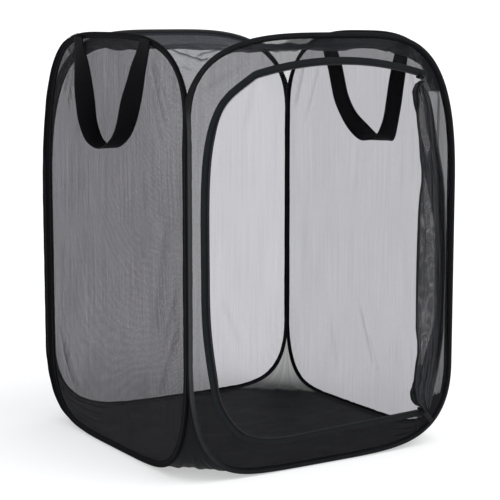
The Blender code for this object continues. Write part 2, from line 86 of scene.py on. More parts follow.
def ramp(value, low, high):
    return smooth((np.asarray(value, float) - low) / (high - low))


def table(value, keys):
    """Smooth monotone interpolation of (key, value) pairs."""
    ks = np.array([k for k, _ in keys], float)
    vs = np.array([v for _, v in keys], float)
    x = np.asarray(value, float)
    i = np.clip(np.searchsorted(ks, x) - 1, 0, len(ks) - 2)
    t = smooth((x - ks[i]) / (ks[i + 1] - ks[i]))
    return vs[i] + (vs[i + 1] - vs[i]) * t


def wander(x, y, scale, seed=0.0):
    """Smooth noise field in -1..1 over arrays."""
    x, y = np.broadcast_arrays(np.asarray(x, float), np.asarray(y, float))
    out = np.empty(x.shape)
    flat = out.ravel()
    for i, (a, b) in enumerate(zip(x.ravel() / scale, y.ravel() / scale)):
        flat[i] = noise.noise(Vector((a, b, seed)))
    return flat.reshape(x.shape)


def make(name, verts, faces, material, uvs=None, attrs=None, sharp=40, body=None):
    mesh = bpy.data.meshes.new(name)
    verts = np.asarray(verts, float).reshape(-1, 3)
    mesh.from_pydata(verts.tolist(), [], [list(f) for f in faces])
    if uvs is not None:
        layer = mesh.uv_layers.new(name="UVMap")
        loops = np.empty(len(mesh.loops), int)
        mesh.loops.foreach_get("vertex_index", loops)
        uvs = np.asarray(uvs, float)
        data = uvs[loops] if len(uvs) == len(verts) else uvs
        layer.data.foreach_set("uv", data.astype(np.float32).ravel())
    for key, values in (attrs or {}).items():
        a = mesh.attributes.new(key, "FLOAT", "POINT")
        a.data.foreach_set("value", np.asarray(values, np.float32).ravel())
    mesh.materials.append(material)
    mesh.validate()
    mesh.shade_smooth()
    if sharp:
        mesh.set_sharp_from_angle(angle=math.radians(sharp))
    obj = bpy.data.objects.new(name, mesh)
    scene.collection.objects.link(obj)
    if body:
        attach(obj, body)
    return obj


def grid_faces(nu, nv, close_u=False, close_v=False, flip=False):
    faces = []
    for i in range(nu if close_u else nu - 1):
        for j in range(nv if close_v else nv - 1):
            a, b = i * nv + j, ((i + 1) % nu) * nv + j
            c, d = ((i + 1) % nu) * nv + (j + 1) % nv, i * nv + (j + 1) % nv
            faces.append((a, d, c, b) if flip else (a, b, c, d))
    return faces


def fix_normals(obj):
    bm = bmesh.new()
    bm.from_mesh(obj.data)
    bmesh.ops.recalc_face_normals(bm, faces=bm.faces)
    bm.to_mesh(obj.data)
    bm.free()
    return obj


def lengths(points, closed=False):
    p = np.asarray(points, float)
    d = np.linalg.norm(np.diff(p, axis=0, append=p[:1] if closed else p[-1:]), axis=1)
    return np.concatenate([[0.0], np.cumsum(d)])


def resample(points, spacing, closed=False):
    p = np.asarray(points, float)
    s = lengths(p, closed)
    if closed:
        p = np.vstack([p, p[:1]])
    else:
        s = s[:-1]
    total = s[-1]
    n = max(int(round(total / spacing)), 3)
    want = np.arange(n) * total / n if closed else np.linspace(0, total, n + 1)
    return np.stack([np.interp(want, s, p[:, k]) for k in range(p.shape[1])], 1)


def catmull(points, steps):
    p = np.asarray(points, float)
    p = np.vstack([2 * p[0] - p[1], p, 2 * p[-1] - p[-2]])
    out = []
    for k in range(1, len(p) - 2):
        a, b, c, d = p[k - 1 : k + 3]
        for t in np.linspace(0, 1, steps, endpoint=False):
            out.append(0.5 * (2 * b + (c - a) * t + (2 * a - 5 * b + 4 * c - d) * t * t + (3 * b - a - 3 * c + d) * t**3))
    out.append(p[-2])
    return np.array(out)


def quarter(shape, half, count):
    n, m, rise = shape
    t = np.linspace(0, math.pi / 2, 1201)
    dense = np.stack([half * np.maximum(np.cos(t), 0) ** (2 / n), rise * np.sin(t) ** (2 / m)], 1)
    return resample(dense, lengths(dense)[-1] / count)


def hoop(half, foot_minus, foot_plus, top_plus, top_minus):
    """Closed hoop outline (across, height), anticlockwise from the middle of the bottom."""
    up = lambda z: HOOP_FOOT + z * (HEIGHT - HOOP_FOOT) / HEIGHT
    loop = []
    for shape, side, top in ((foot_plus, 1, False), (top_plus, 1, True), (top_minus, -1, True), (foot_minus, -1, False)):
        q = quarter(shape, half, 60)
        pts = [(side * x, HEIGHT - shape[2] + y if top else shape[2] - y) for x, y in q]
        if (side > 0) != top:
            pts.reverse()
        loop += pts
    out = [loop[0]]
    for x, z in loop[1:]:
        if abs(x - out[-1][0]) + abs(z - out[-1][1]) > 1e-6:
            out.append((x, z))
    out = np.array([(x, up(z)) for x, z in out])
    if np.abs(out[0] - out[-1]).sum() < 1e-6:
        out = out[:-1]
    return resample(out, 0.0045, closed=True)


def normals_2d(loop, closed=True):
    """Left-hand unit normals of a 2D polyline."""
    p = np.asarray(loop, float)
    if closed:
        d = np.roll(p, -1, 0) - np.roll(p, 1, 0)
    else:
        d = np.gradient(p, axis=0)
    n = np.stack([-d[:, 1], d[:, 0]], 1)
    return n / np.linalg.norm(n, axis=1)[:, None]


def rise_at(shape, inset):
    n, m, rise = shape
    across = np.clip(1.0 - np.asarray(inset, float) / HALF, 0.0, 1.0)
    c = across ** (n / 2)
    return rise * np.sqrt(np.maximum(1.0 - c * c, 0.0)) ** (2 / m)


WALLS = {
    "front": (hoop(HALF, FOOT_ROUND, FOOT_TIGHT, TOP_FRONT_RIGHT, TOP_TIGHT), lambda u, z, w: (u, -MID - w, z), "front_wall"),
    "back": (hoop(HALF, FOOT_TIGHT, FOOT_BACK_RIGHT, TOP_BACK_RIGHT, TOP_ROUND), lambda u, z, w: (u, MID + w, z), "back_wall"),
    "left": (hoop(SIDE_HALF, FOOT_ROUND, FOOT_TIGHT, TOP_ROUND, TOP_TIGHT), lambda u, z, w: (-MID - w, u, z), "left_wall"),
    "right": (hoop(SIDE_HALF, FOOT_TIGHT, FOOT_BACK_RIGHT, TOP_BACK_RIGHT, TOP_RIGHT_FRONT), lambda u, z, w: (MID + w, u, z), "right_wall"),
}


def to_wall(wall, u, z, w):
    """Wall coordinates to world: u across, z up, w out of the wall from its middle plane."""
    u, z, w = np.broadcast_arrays(np.asarray(u, float), np.asarray(z, float), np.asarray(w, float))
    return np.stack(WALLS[wall][1](u, z, w), -1)


# ---------------------------------------------------------------------------------------------------------- materials
class Nodes:
    """Short form for building a node tree."""

    def __init__(self, name):
        self.material = bpy.data.materials.new(name)
        self.material.use_nodes = True
        self.tree = self.material.node_tree
        self.tree.nodes.clear()
        self.out = self.new("ShaderNodeOutputMaterial")

    def new(self, kind, **settings):
        node = self.tree.nodes.new(kind)
        for key, value in settings.items():
            setattr(node, key, value)
        return node

    def put(self, socket, value):
        if isinstance(value, bpy.types.NodeSocket):
            self.tree.links.new(value, socket)
        elif value is not None:
            socket.default_value = value

    def math(self, op, a, b=None, c=None, clamp=False):
        node = self.new("ShaderNodeMath", operation=op, use_clamp=clamp)
        for socket, value in zip(node.inputs, (a, b, c)):
            self.put(socket, value)
        return node.outputs[0]

    def attribute(self, name):
        return self.new("ShaderNodeAttribute", attribute_name=name).outputs["Fac"]

    def uv(self):
        return self.new("ShaderNodeUVMap", uv_map="UVMap").outputs["UV"]

    def coords(self):
        return self.new("ShaderNodeTexCoord").outputs["Object"]

    def split(self, vector):
        node = self.new("ShaderNodeSeparateXYZ")
        self.put(node.inputs[0], vector)
        return node.outputs

    def scaled(self, vector, scale, rotation=(0, 0, 0)):
        node = self.new("ShaderNodeMapping")
        self.put(node.inputs["Vector"], vector)
        node.inputs["Scale"].default_value = scale
        node.inputs["Rotation"].default_value = rotation
        return node.outputs[0]

    def noise(self, vector, scale, detail=3.0, roughness=0.5):
        node = self.new("ShaderNodeTexNoise")
        self.put(node.inputs["Vector"], vector)
        node.inputs["Scale"].default_value = scale
        node.inputs["Detail"].default_value = detail
        node.inputs["Roughness"].default_value = roughness
        return node.outputs["Fac"]

    def ranged(self, value, a, b, c, d, kind="LINEAR"):
        node = self.new("ShaderNodeMapRange", interpolation_type=kind)
        self.put(node.inputs["Value"], value)
        for key, v in zip(("From Min", "From Max", "To Min", "To Max"), (a, b, c, d)):
            self.put(node.inputs[key], v)
        return node.outputs[0]

    def blend(self, fac, a, b):
        node = self.new("ShaderNodeMix", data_type="RGBA")
        self.put(node.inputs["Factor"], fac)
        self.put(node.inputs[6], a)
        self.put(node.inputs[7], b)
        return node.outputs[2]

    def bump(self, height, strength, distance, normal=None):
        node = self.new("ShaderNodeBump")
        node.inputs["Strength"].default_value = strength
        node.inputs["Distance"].default_value = distance
        self.put(node.inputs["Height"], height)
        self.put(node.inputs["Normal"], normal)
        return node.outputs[0]

    def principled(self, colour, roughness, metallic=0.0, specular=0.5, sheen=0.0, normal=None, sheen_roughness=0.5):
        node = self.new("ShaderNodeBsdfPrincipled")
        self.put(node.inputs["Base Color"], colour)
        self.put(node.inputs["Roughness"], roughness)
        node.inputs["Metallic"].default_value = metallic
        node.inputs["Specular IOR Level"].default_value = specular
        node.inputs["Sheen Weight"].default_value = sheen
        node.inputs["Sheen Roughness"].default_value = sheen_roughness
        self.put(node.inputs["Normal"], normal)
        return node.outputs[0]

    def done(self, shader):
        self.tree.links.new(shader, self.out.inputs["Surface"])
        return self.material


def rgb(r, g, b):
    return (r, g, b, 1.0)


def weave_height(n, uv, pitch_u, pitch_v):
    """Plain weave: over and under threads in a checker, from UVs in metres."""
    u, v, _ = n.split(uv)
    su = n.math("SINE", n.math("MULTIPLY", u, 2 * math.pi / pitch_u))
    sv = n.math("SINE", n.math("MULTIPLY", v, 2 * math.pi / pitch_v))
    return n.math("MULTIPLY", su, sv)


def fabric(name, dark, light, roughness, pitch, specular=0.25, sheen=0.15, strength=0.35, stitch_v=None, rim=None):
    n = Nodes(name)
    uv = n.uv()
    weave = weave_height(n, uv, pitch, pitch)
    cloud = n.noise(n.coords(), 60.0, 4.0, 0.6)
    fine = n.noise(uv, 1400.0, 2.0, 0.6)
    mix = n.math("ADD", n.math("MULTIPLY", cloud, 0.75), n.math("MULTIPLY", fine, 0.35))
    colour = n.blend(n.ranged(mix, 0.35, 0.80, 0.0, 1.0), rgb(*dark), rgb(*light))
    if rim:  # painted highlight: the rounded part over the wire is painted paler where it faces the light
        colour = n.blend(n.math("MULTIPLY", n.attribute("rim"), n.ranged(mix, 0.3, 0.8, 0.55, 1.0)), colour, rgb(*rim))
    height = n.math("ADD", n.math("MULTIPLY", weave, 0.5), n.math("MULTIPLY", fine, 0.6))
    normal = n.bump(height, strength, 0.00025)
    if stitch_v:
        u, v, _ = n.split(uv)
        for place in stitch_v:
            off = n.math("ABSOLUTE", n.math("SUBTRACT", v, place))
            line = n.ranged(off, 0.0002, 0.00065, 1.0, 0.0, "SMOOTHSTEP")
            dash = n.ranged(n.math("SINE", n.math("MULTIPLY", u, 2 * math.pi / 0.0032)), -0.7, -0.2, 0.0, 1.0, "SMOOTHSTEP")
            thread = n.math("MULTIPLY", line, dash)
            normal = n.bump(n.math("SUBTRACT", n.math("MULTIPLY", thread, 0.9), n.math("MULTIPLY", line, 0.8)), 0.9, 0.0005, normal)
            colour = n.blend(n.math("MULTIPLY", thread, 0.55), colour, rgb(0.016, 0.016, 0.018))
    rough = n.ranged(cloud, 0.3, 0.7, roughness - 0.06, roughness + 0.06)
    return n.done(n.principled(colour, rough, specular=specular, sheen=sheen, normal=normal))


def netting(name, clear_share, yarn=(0.0090, 0.0090, 0.0104), contrast=0.30, streak=0.035, tint=(1.0, 1.0, 1.0), pitch=0.00118):
    """Fine knitted net. clear_share is how much light comes straight through on average; the yarns leave rows of small holes.
    The mesh's 'dense' attribute closes the net where it bunches or is seen through more than one thickness."""
    n = Nodes(name)
    uv = n.uv()
    u, v, _ = n.split(uv)
    drift = n.math("MULTIPLY", n.math("SUBTRACT", n.noise(uv, 95.0, 2.0, 0.6), 0.5), 0.0016)
    drift2 = n.math("MULTIPLY", n.math("SUBTRACT", n.noise(n.scaled(uv, (1.0, 1.0, 1.0), (0, 0, 1.1)), 120.0, 2.0, 0.6), 0.5), 0.0012)
    k = 2 * math.pi / pitch
    a = n.math("MULTIPLY", n.math("ADD", u, drift), k)
    b = n.math("MULTIPLY", n.math("ADD", v, drift2), k * 0.80)
    half_a = n.math("MULTIPLY", a, 0.5)
    waves = [n.math("COSINE", a), n.math("COSINE", n.math("ADD", half_a, b)), n.math("COSINE", n.math("SUBTRACT", half_a, b))]
    field = n.math("ADD", n.math("ADD", waves[0], waves[1]), waves[2])  # -1.5 .. 3 about a mean of 0, peaks are the holes
    long_streak = n.math("SUBTRACT", n.noise(n.scaled(uv, (420.0, 7.0, 1.0)), 1.0, 2.0, 0.6), 0.5)
    blotch = n.math("SUBTRACT", n.noise(n.scaled(uv, (16.0, 9.0, 1.0)), 1.0, 3.0, 0.55), 0.5)
    grain = n.math("SUBTRACT", n.noise(n.scaled(uv, (900.0, 420.0, 1.0)), 1.0, 1.0, 0.5), 0.5)
    vary = n.math("ADD", n.math("MULTIPLY", long_streak, 4.0 * streak), n.math("MULTIPLY", blotch, 1.6 * streak))
    vary = n.math("ADD", vary, n.math("MULTIPLY", grain, 2.5 * streak))
    cover = n.math("ADD", n.math("ADD", 1.0 - clear_share, vary), n.attribute("dense"))
    open_room = n.math("SUBTRACT", 1.0, cover, clamp=True)
    depth = n.math("MULTIPLY", n.math("MINIMUM", open_room, cover), contrast * 1.1)
    cover = n.math("SUBTRACT", cover, n.math("MULTIPLY", field, depth), clamp=True)
    normal = n.bump(field, 0.20, 0.0002)
    thread = n.principled(rgb(*yarn), 0.65, specular=0.06, sheen=0.0, normal=normal)
    clear = n.new("ShaderNodeBsdfTransparent")
    clear.inputs["Color"].default_value = (*tint, 1.0)
    mix = n.new("ShaderNodeMixShader")
    n.put(mix.inputs[0], cover)
    n.put(mix.inputs[1], clear.outputs[0])
    n.put(mix.inputs[2], thread)
    return n.done(mix.outputs[0])


def webbing(name):
    n = Nodes(name)
    uv = n.uv()
    u, v, _ = n.split(uv)
    rib = n.math("SINE", n.math("MULTIPLY", v, 2 * math.pi / 0.0021))
    pick = n.math("SINE", n.math("ADD", n.math("MULTIPLY", u, 2 * math.pi / 0.0011), n.math("MULTIPLY", rib, 1.4)))
    height = n.math("ADD", n.math("MULTIPLY", rib, 0.5), n.math("MULTIPLY", pick, 0.35))
    cloud = n.noise(n.coords(), 45.0, 4.0, 0.6)
    fuzz = n.noise(uv, 1500.0, 2.0, 0.6)
    colour = n.blend(n.ranged(n.math("ADD", n.math("MULTIPLY", cloud, 0.6), n.math("MULTIPLY", fuzz, 0.4)), 0.3, 0.75, 0, 1), rgb(0.0016, 0.0016, 0.0022), rgb(0.0042, 0.0042, 0.0056))
    normal = n.bump(n.math("ADD", height, n.math("MULTIPLY", fuzz, 0.4)), 0.5, 0.00035)
    return n.done(n.principled(colour, n.ranged(cloud, 0.3, 0.7, 0.58, 0.70), specular=0.06, sheen=0.0, normal=normal))


def plastic(name, base, roughness):
    n = Nodes(name)
    cloud = n.noise(n.coords(), 220.0, 3.0, 0.6)
    colour = n.blend(cloud, rgb(*[c * 0.75 for c in base]), rgb(*[c * 1.3 for c in base]))
    return n.done(n.principled(colour, n.ranged(cloud, 0.3, 0.7, roughness - 0.07, roughness + 0.07), specular=0.5, normal=n.bump(cloud, 0.15, 0.0002)))


def metal(name, base, roughness, scratch=0.2):
    n = Nodes(name)
    at = n.coords()
    grain = n.noise(n.scaled(at, (1.0, 1.0, 9.0)), 900.0, 3.0, 0.6)
    wear = n.noise(at, 180.0, 4.0, 0.65)
    colour = n.blend(n.ranged(wear, 0.35, 0.75, 0.0, 1.0), rgb(*[c * 0.8 for c in base]), rgb(*[min(c * 1.35, 1.0) for c in base]))
    rough = n.ranged(wear, 0.3, 0.7, roughness - 0.06, roughness + 0.12)
    return n.done(n.principled(colour, rough, metallic=1.0, normal=n.bump(grain, scratch, 0.00015)))


# the binding's rim colour is a painted highlight on the lit, rounded edge over the wire
BINDING = fabric("edge_binding_cloth", (0.0014, 0.0014, 0.0020), (0.0038, 0.0040, 0.0050), 0.66, 0.00062, specular=0.035, sheen=0.0, strength=0.30, stitch_v=(0.0066, 0.0225), rim=(0.0380, 0.0390, 0.0420))
FLOOR = fabric("floor_cloth", (0.0030, 0.0032, 0.0042), (0.0058, 0.0060, 0.0074), 0.60, 0.00085, specular=0.08, sheen=0.0, strength=0.22)
TAPE = fabric("zip_tape_twill", (0.0060, 0.0076, 0.0090), (0.0120, 0.0140, 0.0162), 0.66, 0.00070, specular=0.08, sheen=0.02, strength=0.35, stitch_v=(0.0016, 0.0052))
WEBBING = webbing("handle_webbing_rib")
COIL = plastic("zip_coil_nylon", (0.010, 0.010, 0.0115), 0.40)
WIRE = metal("spring_wire_steel", (0.42, 0.42, 0.44), 0.28)
SLIDER = metal("slider_lacquered_zinc", (0.012, 0.012, 0.014), 0.45)
# both pull tabs are the same zinc; the lower tab gets a darker copy of it as painted shade
PULL = metal("pull_tab_zinc", (0.060, 0.060, 0.064), 0.45)
PULL_SHADED = metal("pull_tab_zinc_painted_shade", (0.022, 0.022, 0.025), 0.50)
NET = {
    "front": netting("net_front", 0.475, contrast=0.12, streak=0.045, yarn=(0.0080, 0.0080, 0.0092)),
    "back": netting("net_back", 0.495, tint=(0.965, 0.955, 1.0), streak=0.030, contrast=0.20),
    # the left wall's net lets less through than the others: partly for its slant view, partly as painted shade on the
    # side away from the light
    "left": netting("net_left", 0.300, streak=0.066, tint=(1.0, 0.985, 1.0), contrast=0.30),
    "right": netting("net_right", 0.425, tint=(0.965, 0.955, 1.0), streak=0.034, contrast=0.20),
    # the roof's net has paler yarn than the walls: painted sheen on the lit top
    "roof": netting("net_roof", 0.55, yarn=(0.022, 0.024, 0.030)),
    # the door's net has paler yarn than the walls: painted light on the gathered folds that catch the light
    "door": netting("net_door", 0.50, yarn=(0.0235, 0.0240, 0.0280), streak=0.10, contrast=0.85, pitch=0.0019),
}

# ---------------------------------------------------------------------------------------------------------- bindings
def binding_section():
    """Half section of the folded tape: round over the wire, then two flat flanges. (inset, offset) pairs, closed loop."""
    outer = []
    for a in np.linspace(180, 40, 10):
        outer.append((0.0026 + 0.0022 * math.cos(math.radians(a)), 0.00205 * math.sin(math.radians(a))))
    outer += [(0.0048, 0.00098), (0.0056, 0.00090), (0.0066, 0.00088), (0.0076, 0.00088), (0.0080, 0.00062)]
    inner = [(0.0079, 0.00034), (0.0070, 0.00032), (0.0056, 0.00032), (0.0047, 0.00045), (0.0040, 0.00115), (0.0026, 0.00160), (0.0014, 0.00120), (0.0010, 0.0)]
    top = outer + inner
    bottom = [(e, -w) for e, w in top[1:-1]][::-1]
    return np.array(top + bottom), len(outer)


def width_along(wall, loop):
    """Visible width of the bound edge round the hoop: the seams take in part of it at some corners."""
    u, z = loop[:, 0], loop[:, 1]
    upright = np.abs(normals_2d(loop)[:, 0]) ** 2
    if wall == "front":
        return 0.0066 + upright * np.where(u > 0, 0.0022 * ramp(z, 0.12, 0.26), -0.0008 * ramp(z, 0.40, 0.45))
    if wall == "back":
        return 0.0078 + upright * np.where(u > 0, -0.0028, 0.0025) - 0.0030 * (1 - upright) ** 2 * (z < 0.1)
    if wall == "left":
        return 0.0078 + upright * np.where(u > 0, 0.0030, 0.0034 - 0.0018 * ramp(z, 0.40, 0.45))
    return 0.0074 + upright * np.where(u > 0, -0.0020 * ramp(z, 0.05, 0.10), 0.0) - 0.0026 * (1 - upright) ** 3 * (z < 0.1)


def outset_along(wall, loop):
    """How far the folded tape stands out past the wire: more where two walls' tapes are caught in one seam."""
    u, z = loop[:, 0], loop[:, 1]
    upright = np.abs(normals_2d(loop)[:, 0]) ** 2
    bump = lambda at, spread: np.exp(-(((z - at) / spread) ** 2))
    if wall == "front":
        return 0.0013 + np.where(u < 0, 0.0024 * bump(0.462, 0.022), 0.0)
    if wall == "back":
        return 0.0013 + np.where(u > 0, 0.0034 * bump(0.452, 0.026) * upright, 0.0012 * upright)
    if wall == "left":
        return 0.0008 + np.where(u < 0, 0.0028 * bump(0.462, 0.022), 0.0)
    return 0.0008 + np.where(u > 0, 0.0030 * bump(0.452, 0.026) * upright, 0.0)


SECTION, OUTER_COUNT = binding_section()
for wall, (loop, place, body) in WALLS.items():
    n2 = normals_2d(loop)
    s = lengths(loop, True)[:-1]
    total = lengths(loop, True)[-1]
    seed = {"front": 1.0, "back": 2.0, "left": 3.0, "right": 4.0}[wall]
    angle = s / total * 2 * math.pi
    wob = wander(np.cos(angle) * 6, np.sin(angle) * 6, 1.0, seed) * 0.00035
    pucker = wander(np.cos(angle) * 40, np.sin(angle) * 40, 1.0, seed + 9) * 0.00025
    e, w = SECTION[:, 0], SECTION[:, 1]
    flange = ramp(e, 0.0045, 0.0075)
    wide = width_along(wall, loop)
    inset = np.where(e[None, :] > 0.0046, 0.0046 + (e[None, :] - 0.0046) * (wide[:, None] - 0.0046) / 0.0034, e[None, :])
    inset = inset - outset_along(wall, loop)[:, None] * (1 - ramp(e, 0.0010, 0.0046))[None, :]
    inset = inset + pucker[:, None] * flange[None, :] * 1.6
    across = loop[:, 0][:, None] + n2[:, 0][:, None] * inset
    high = np.maximum(loop[:, 1][:, None] + n2[:, 1][:, None] * inset, 0.0002)
    out = w[None, :] * (1 + 0.06 * wander(np.cos(angle) * 25, np.sin(angle) * 25, 1.0, seed + 5)[:, None]) + wob[:, None] * flange[None, :]
    P = to_wall(wall, across, high, out)
    ring = lengths(np.stack([e, w], 1), True)
    uv_v = ring[:-1]
    nu, nv = P.shape[:2]
    faces = grid_faces(nu, nv, True, True)
    uvs = []
    for i in range(nu):
        for j in range(nv):
            for di, dj in ((0, 0), (1, 0), (1, 1), (0, 1)):
                uvs.append((total if i + di == nu else s[i + di], ring[j + dj]))
    high_up = loop[:, 1]
    # painted highlight along each binding's rounded edge, set per wall by how the light falls: none on the left wall,
    # which faces away from it, and brightest at the top of the back hoop
    highlight_share = {"front": 0.30 + 0 * s, "back": 0.25 + 0.75 * ramp(high_up, 0.49, 0.525), "left": 0 * s, "right": 0.20 + 0 * s}[wall]
    rim = (1 - ramp(e, 0.0036, 0.0050))[None, :] * highlight_share[:, None]
    if wall == "back":
        rim = np.maximum(rim, 1.5 * ramp(high_up, 0.495, 0.525)[:, None] * np.ones(len(e))[None, :])
    if wall == "front":  # painted highlight on the left seam's outward face, which faces the light
        seam_highlight = (loop[:, 0] < 0) * np.abs(n2[:, 0]) ** 1.5 * (1 - ramp(high_up, 0.425, 0.465)) * (0.45 + 0.55 * ramp(high_up, 0.05, 0.16))
        face = np.maximum(ramp(w, 0.0012, 0.0022), (w > 0) * ramp(e, 0.0030, 0.0046))
        rim = rim * (1 - seam_highlight[:, None]) + seam_highlight[:, None] * face[None, :] * 1.45
    obj = make(wall + "_binding", P, faces, BINDING, uvs=uvs, attrs={"rim": rim.ravel()}, sharp=50)
    # faces and UV loops were written in the same order, so normals are turned as a whole where needed
    bm = bmesh.new()
    bm.from_mesh(obj.data)
    if bm.calc_volume(signed=True) < 0:
        bmesh.ops.reverse_faces(bm, faces=bm.faces)
        bm.to_mesh(obj.data)
    bm.free()
    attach(obj, body)
    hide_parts(wall + "_edge_binding")

# the left and back walls' tapes are caught in one seam there and stand out as a rib
loop = WALLS["left"][0]
out2 = -normals_2d(loop)
keep = np.where((loop[:, 0] > 0.03) & (out2[:, 0] > 0.12))[0]
line, nrm = loop[keep], out2[keep]
stand = table(nrm[:, 0], [(0.12, 0.0), (0.30, 0.12), (0.60, 0.50), (0.90, 0.72), (0.985, 0.86), (1.0, 1.0)]) * np.where(line[:, 1] > 0.3, table(line[:, 1], [(0.30, 1.0), (0.42, 0.80), (0.54, 0.75)]), 1.0)
s = lengths(line)[: len(line)]
sec = [(-0.35, 0.0010), (0.40, 0.0009), (0.85, 0.0008), (1.0, 0.0), (0.85, -0.0008), (0.40, -0.0009), (-0.35, -0.0010)]
P = []
for reach, thick in sec:
    d = np.stack([-0.0046 * stand, 0.0066 * stand * nrm[:, 0], 0.0040 * stand * nrm[:, 1]], 1) * reach
    side = np.stack([0.81 * np.ones(len(s)), 0.57 * nrm[:, 0], 0.57 * nrm[:, 1]], 1) * thick
    base_point = np.stack([np.full(len(s), -MID - 0.0008), line[:, 0] + 0.0006 * nrm[:, 0], line[:, 1] + 0.0006 * nrm[:, 1]], 1)
    P.append(base_point + d + side + np.stack([np.zeros(len(s)), 0.0002 * np.sin(s * 180), np.zeros(len(s))], 1))
P = np.stack(P, 1)
ring = lengths(np.array([(a * 0.008, b) for a, b in sec]), True)
nu, nv = P.shape[:2]
faces, uvs = grid_faces(nu, nv, False, True), []
for i in range(nu - 1):
    for j in range(nv):
        for di, dj in ((0, 0), (1, 0), (1, 1), (0, 1)):
            uvs.append((s[i + di], ring[j + dj]))
faces += [tuple(range(nv)), tuple(range((nu - 1) * nv, nu * nv))[::-1]]
uvs += [(0, 0)] * (2 * nv)
rib = make("back_left_seam_rib", P, faces, BINDING, uvs=uvs, attrs={"rim": np.zeros(nu * nv)}, sharp=50)
fix_normals(rib)
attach(rib, "left_wall")

# ---------------------------------------------------------------------------------------------------------- zip line
ZIP_ARC_CENTRE, ZIP_ARC_RADIUS = (0.012, 0.022), 0.480
ZIP_LEFT = [(-0.1408, 0.4635), (-0.1579, 0.4402), (-0.1682, 0.4056), (-0.1728, 0.3550), (-0.1732, 0.2700), (-0.1716, 0.1950),
            (-0.1626, 0.1288), (-0.1529, 0.0934), (-0.1274, 0.0601), (-0.0963, 0.0470)]
ZIP_BOTTOM_LEFT, ZIP_BOTTOM_RIGHT = (-0.060, 0.0433), (0.158, 0.04974)
TAPE_Y, COIL_Y = -0.1984, -0.2002


def arc_point(x):
    return (x, ZIP_ARC_CENTRE[1] + math.sqrt(ZIP_ARC_RADIUS**2 - (x - ZIP_ARC_CENTRE[0]) ** 2))


arc = [arc_point(x) for x in np.linspace(0.148, -0.105, 60)]
run = catmull([arc[-1]] + ZIP_LEFT + [ZIP_BOTTOM_LEFT], 12)
ZIP_LINE = resample(np.vstack([arc, run[1:], [ZIP_BOTTOM_RIGHT]]), 0.003)
ZIP_N = normals_2d(ZIP_LINE, closed=False)  # towards the opening
HOLE_EDGE = ZIP_LINE - ZIP_N * 0.0012  # the net is sewn under the tape
HOLE_RIGHT = [(0.1710, 0.4350), (0.1710, 0.0900)]
hole_loop = np.vstack([HOLE_EDGE, catmull([tuple(HOLE_EDGE[-1]), (0.1650, 0.0600), (0.1695, 0.0900), (0.1695, 0.2600), (0.1695, 0.4350), (0.1695, 0.4600), (0.1620, 0.4650), (0.1530, 0.4660), tuple(HOLE_EDGE[0])], 8)[1:-1]])


def radial(loop, centre, angles):
    """Distance from the centre to a star-shaped loop at each angle."""
    d = np.asarray(loop) - centre
    a = np.arctan2(d[:, 1], d[:, 0])
    r = np.hypot(d[:, 0], d[:, 1])
    order = np.argsort(a)
    a, r = a[order], r[order]
    a = np.concatenate([a - 2 * math.pi, a, a + 2 * math.pi])
    r = np.tile(r, 3)
    return np.interp(angles, a, r)


# ---------------------------------------------------------------------------------------------------------- wall netting
def fold_line(u, z, a, b, width, fade=0.25):
    """A crease from a to b: 1 on the line, falling off over width, fading towards both ends."""
    a, b = np.array(a, float), np.array(b, float)
    d = b - a
    t = ((u - a[0]) * d[0] + (z - a[1]) * d[1]) / (d @ d)
    off = ((u - a[0]) * -d[1] + (z - a[1]) * d[0]) / math.hypot(*d)
    end = ramp(t, 0.0, fade) * (1 - ramp(t, 1 - fade, 1.0))
    return np.exp(-((off / width) ** 2)) * end, off


CREASES = {  # (from, to, width, depth, density), in each wall's (across, height)
    "left": [((-0.104, 0.520), (-0.150, 0.425), 0.0045, 0.0035, 0.16), ((-0.092, 0.515), (-0.142, 0.400), 0.006, 0.003, 0.07), ((-0.118, 0.505), (-0.163, 0.440), 0.004, 0.002, 0.10),
             ((0.094, 0.518), (0.128, 0.430), 0.0045, 0.003, 0.12), ((0.104, 0.512), (0.140, 0.450), 0.004, 0.0025, 0.12), ((0.086, 0.505), (0.104, 0.380), 0.006, 0.002, 0.05),
             ((-0.150, 0.330), (-0.110, 0.160), 0.010, 0.003, 0.05), ((-0.178, 0.200), (-0.120, 0.090), 0.006, 0.003, 0.08), ((-0.170, 0.240), (-0.130, 0.150), 0.005, 0.002, 0.05),
             ((0.150, 0.120), (0.110, 0.050), 0.006, 0.003, 0.10), ((0.168, 0.150), (0.120, 0.060), 0.005, 0.002, 0.08), ((0.020, 0.480), (0.030, 0.330), 0.012, 0.002, 0.02)],
    "right": [((0.148, 0.500), (0.178, 0.420), 0.0045, 0.003, 0.10), ((0.110, 0.500), (0.150, 0.400), 0.004, 0.002, 0.07), ((-0.092, 0.515), (-0.120, 0.440), 0.0045, 0.003, 0.10),
              ((-0.104, 0.508), (-0.146, 0.450), 0.004, 0.0025, 0.10), ((-0.030, 0.060), (0.010, 0.160), 0.0035, 0.0025, 0.09), ((-0.045, 0.052), (-0.012, 0.120), 0.003, 0.002, 0.06),
              ((0.060, 0.045), (0.080, 0.120), 0.005, 0.002, 0.04), ((0.150, 0.330), (0.140, 0.180), 0.010, 0.002, 0.02)],
    "back": [((0.150, 0.500), (0.120, 0.380), 0.006, 0.003, 0.04), ((-0.140, 0.480), (-0.100, 0.360), 0.007, 0.003, 0.04), ((0.120, 0.060), (0.080, 0.150), 0.006, 0.002, 0.04),
             ((-0.150, 0.110), (-0.110, 0.060), 0.005, 0.002, 0.05), ((0.020, 0.500), (0.010, 0.400), 0.012, 0.002, 0.02)],
    "front": [((-0.120, 0.505), (-0.185, 0.470), 0.004, 0.0012, 0.06), ((-0.176, 0.470), (-0.186, 0.380), 0.004, 0.0012, 0.05), ((-0.160, 0.075), (-0.120, 0.030), 0.004, 0.0012, 0.05),
              ((0.080, 0.030), (0.150, 0.040), 0.004, 0.0012, 0.06)],
}
SHEETS = {}
CENTRE = {"front": np.array((0.0, 0.27)), "back": np.array((0.0, 0.27)), "left": np.array((0.0, 0.27)), "right": np.array((0.0, 0.27))}
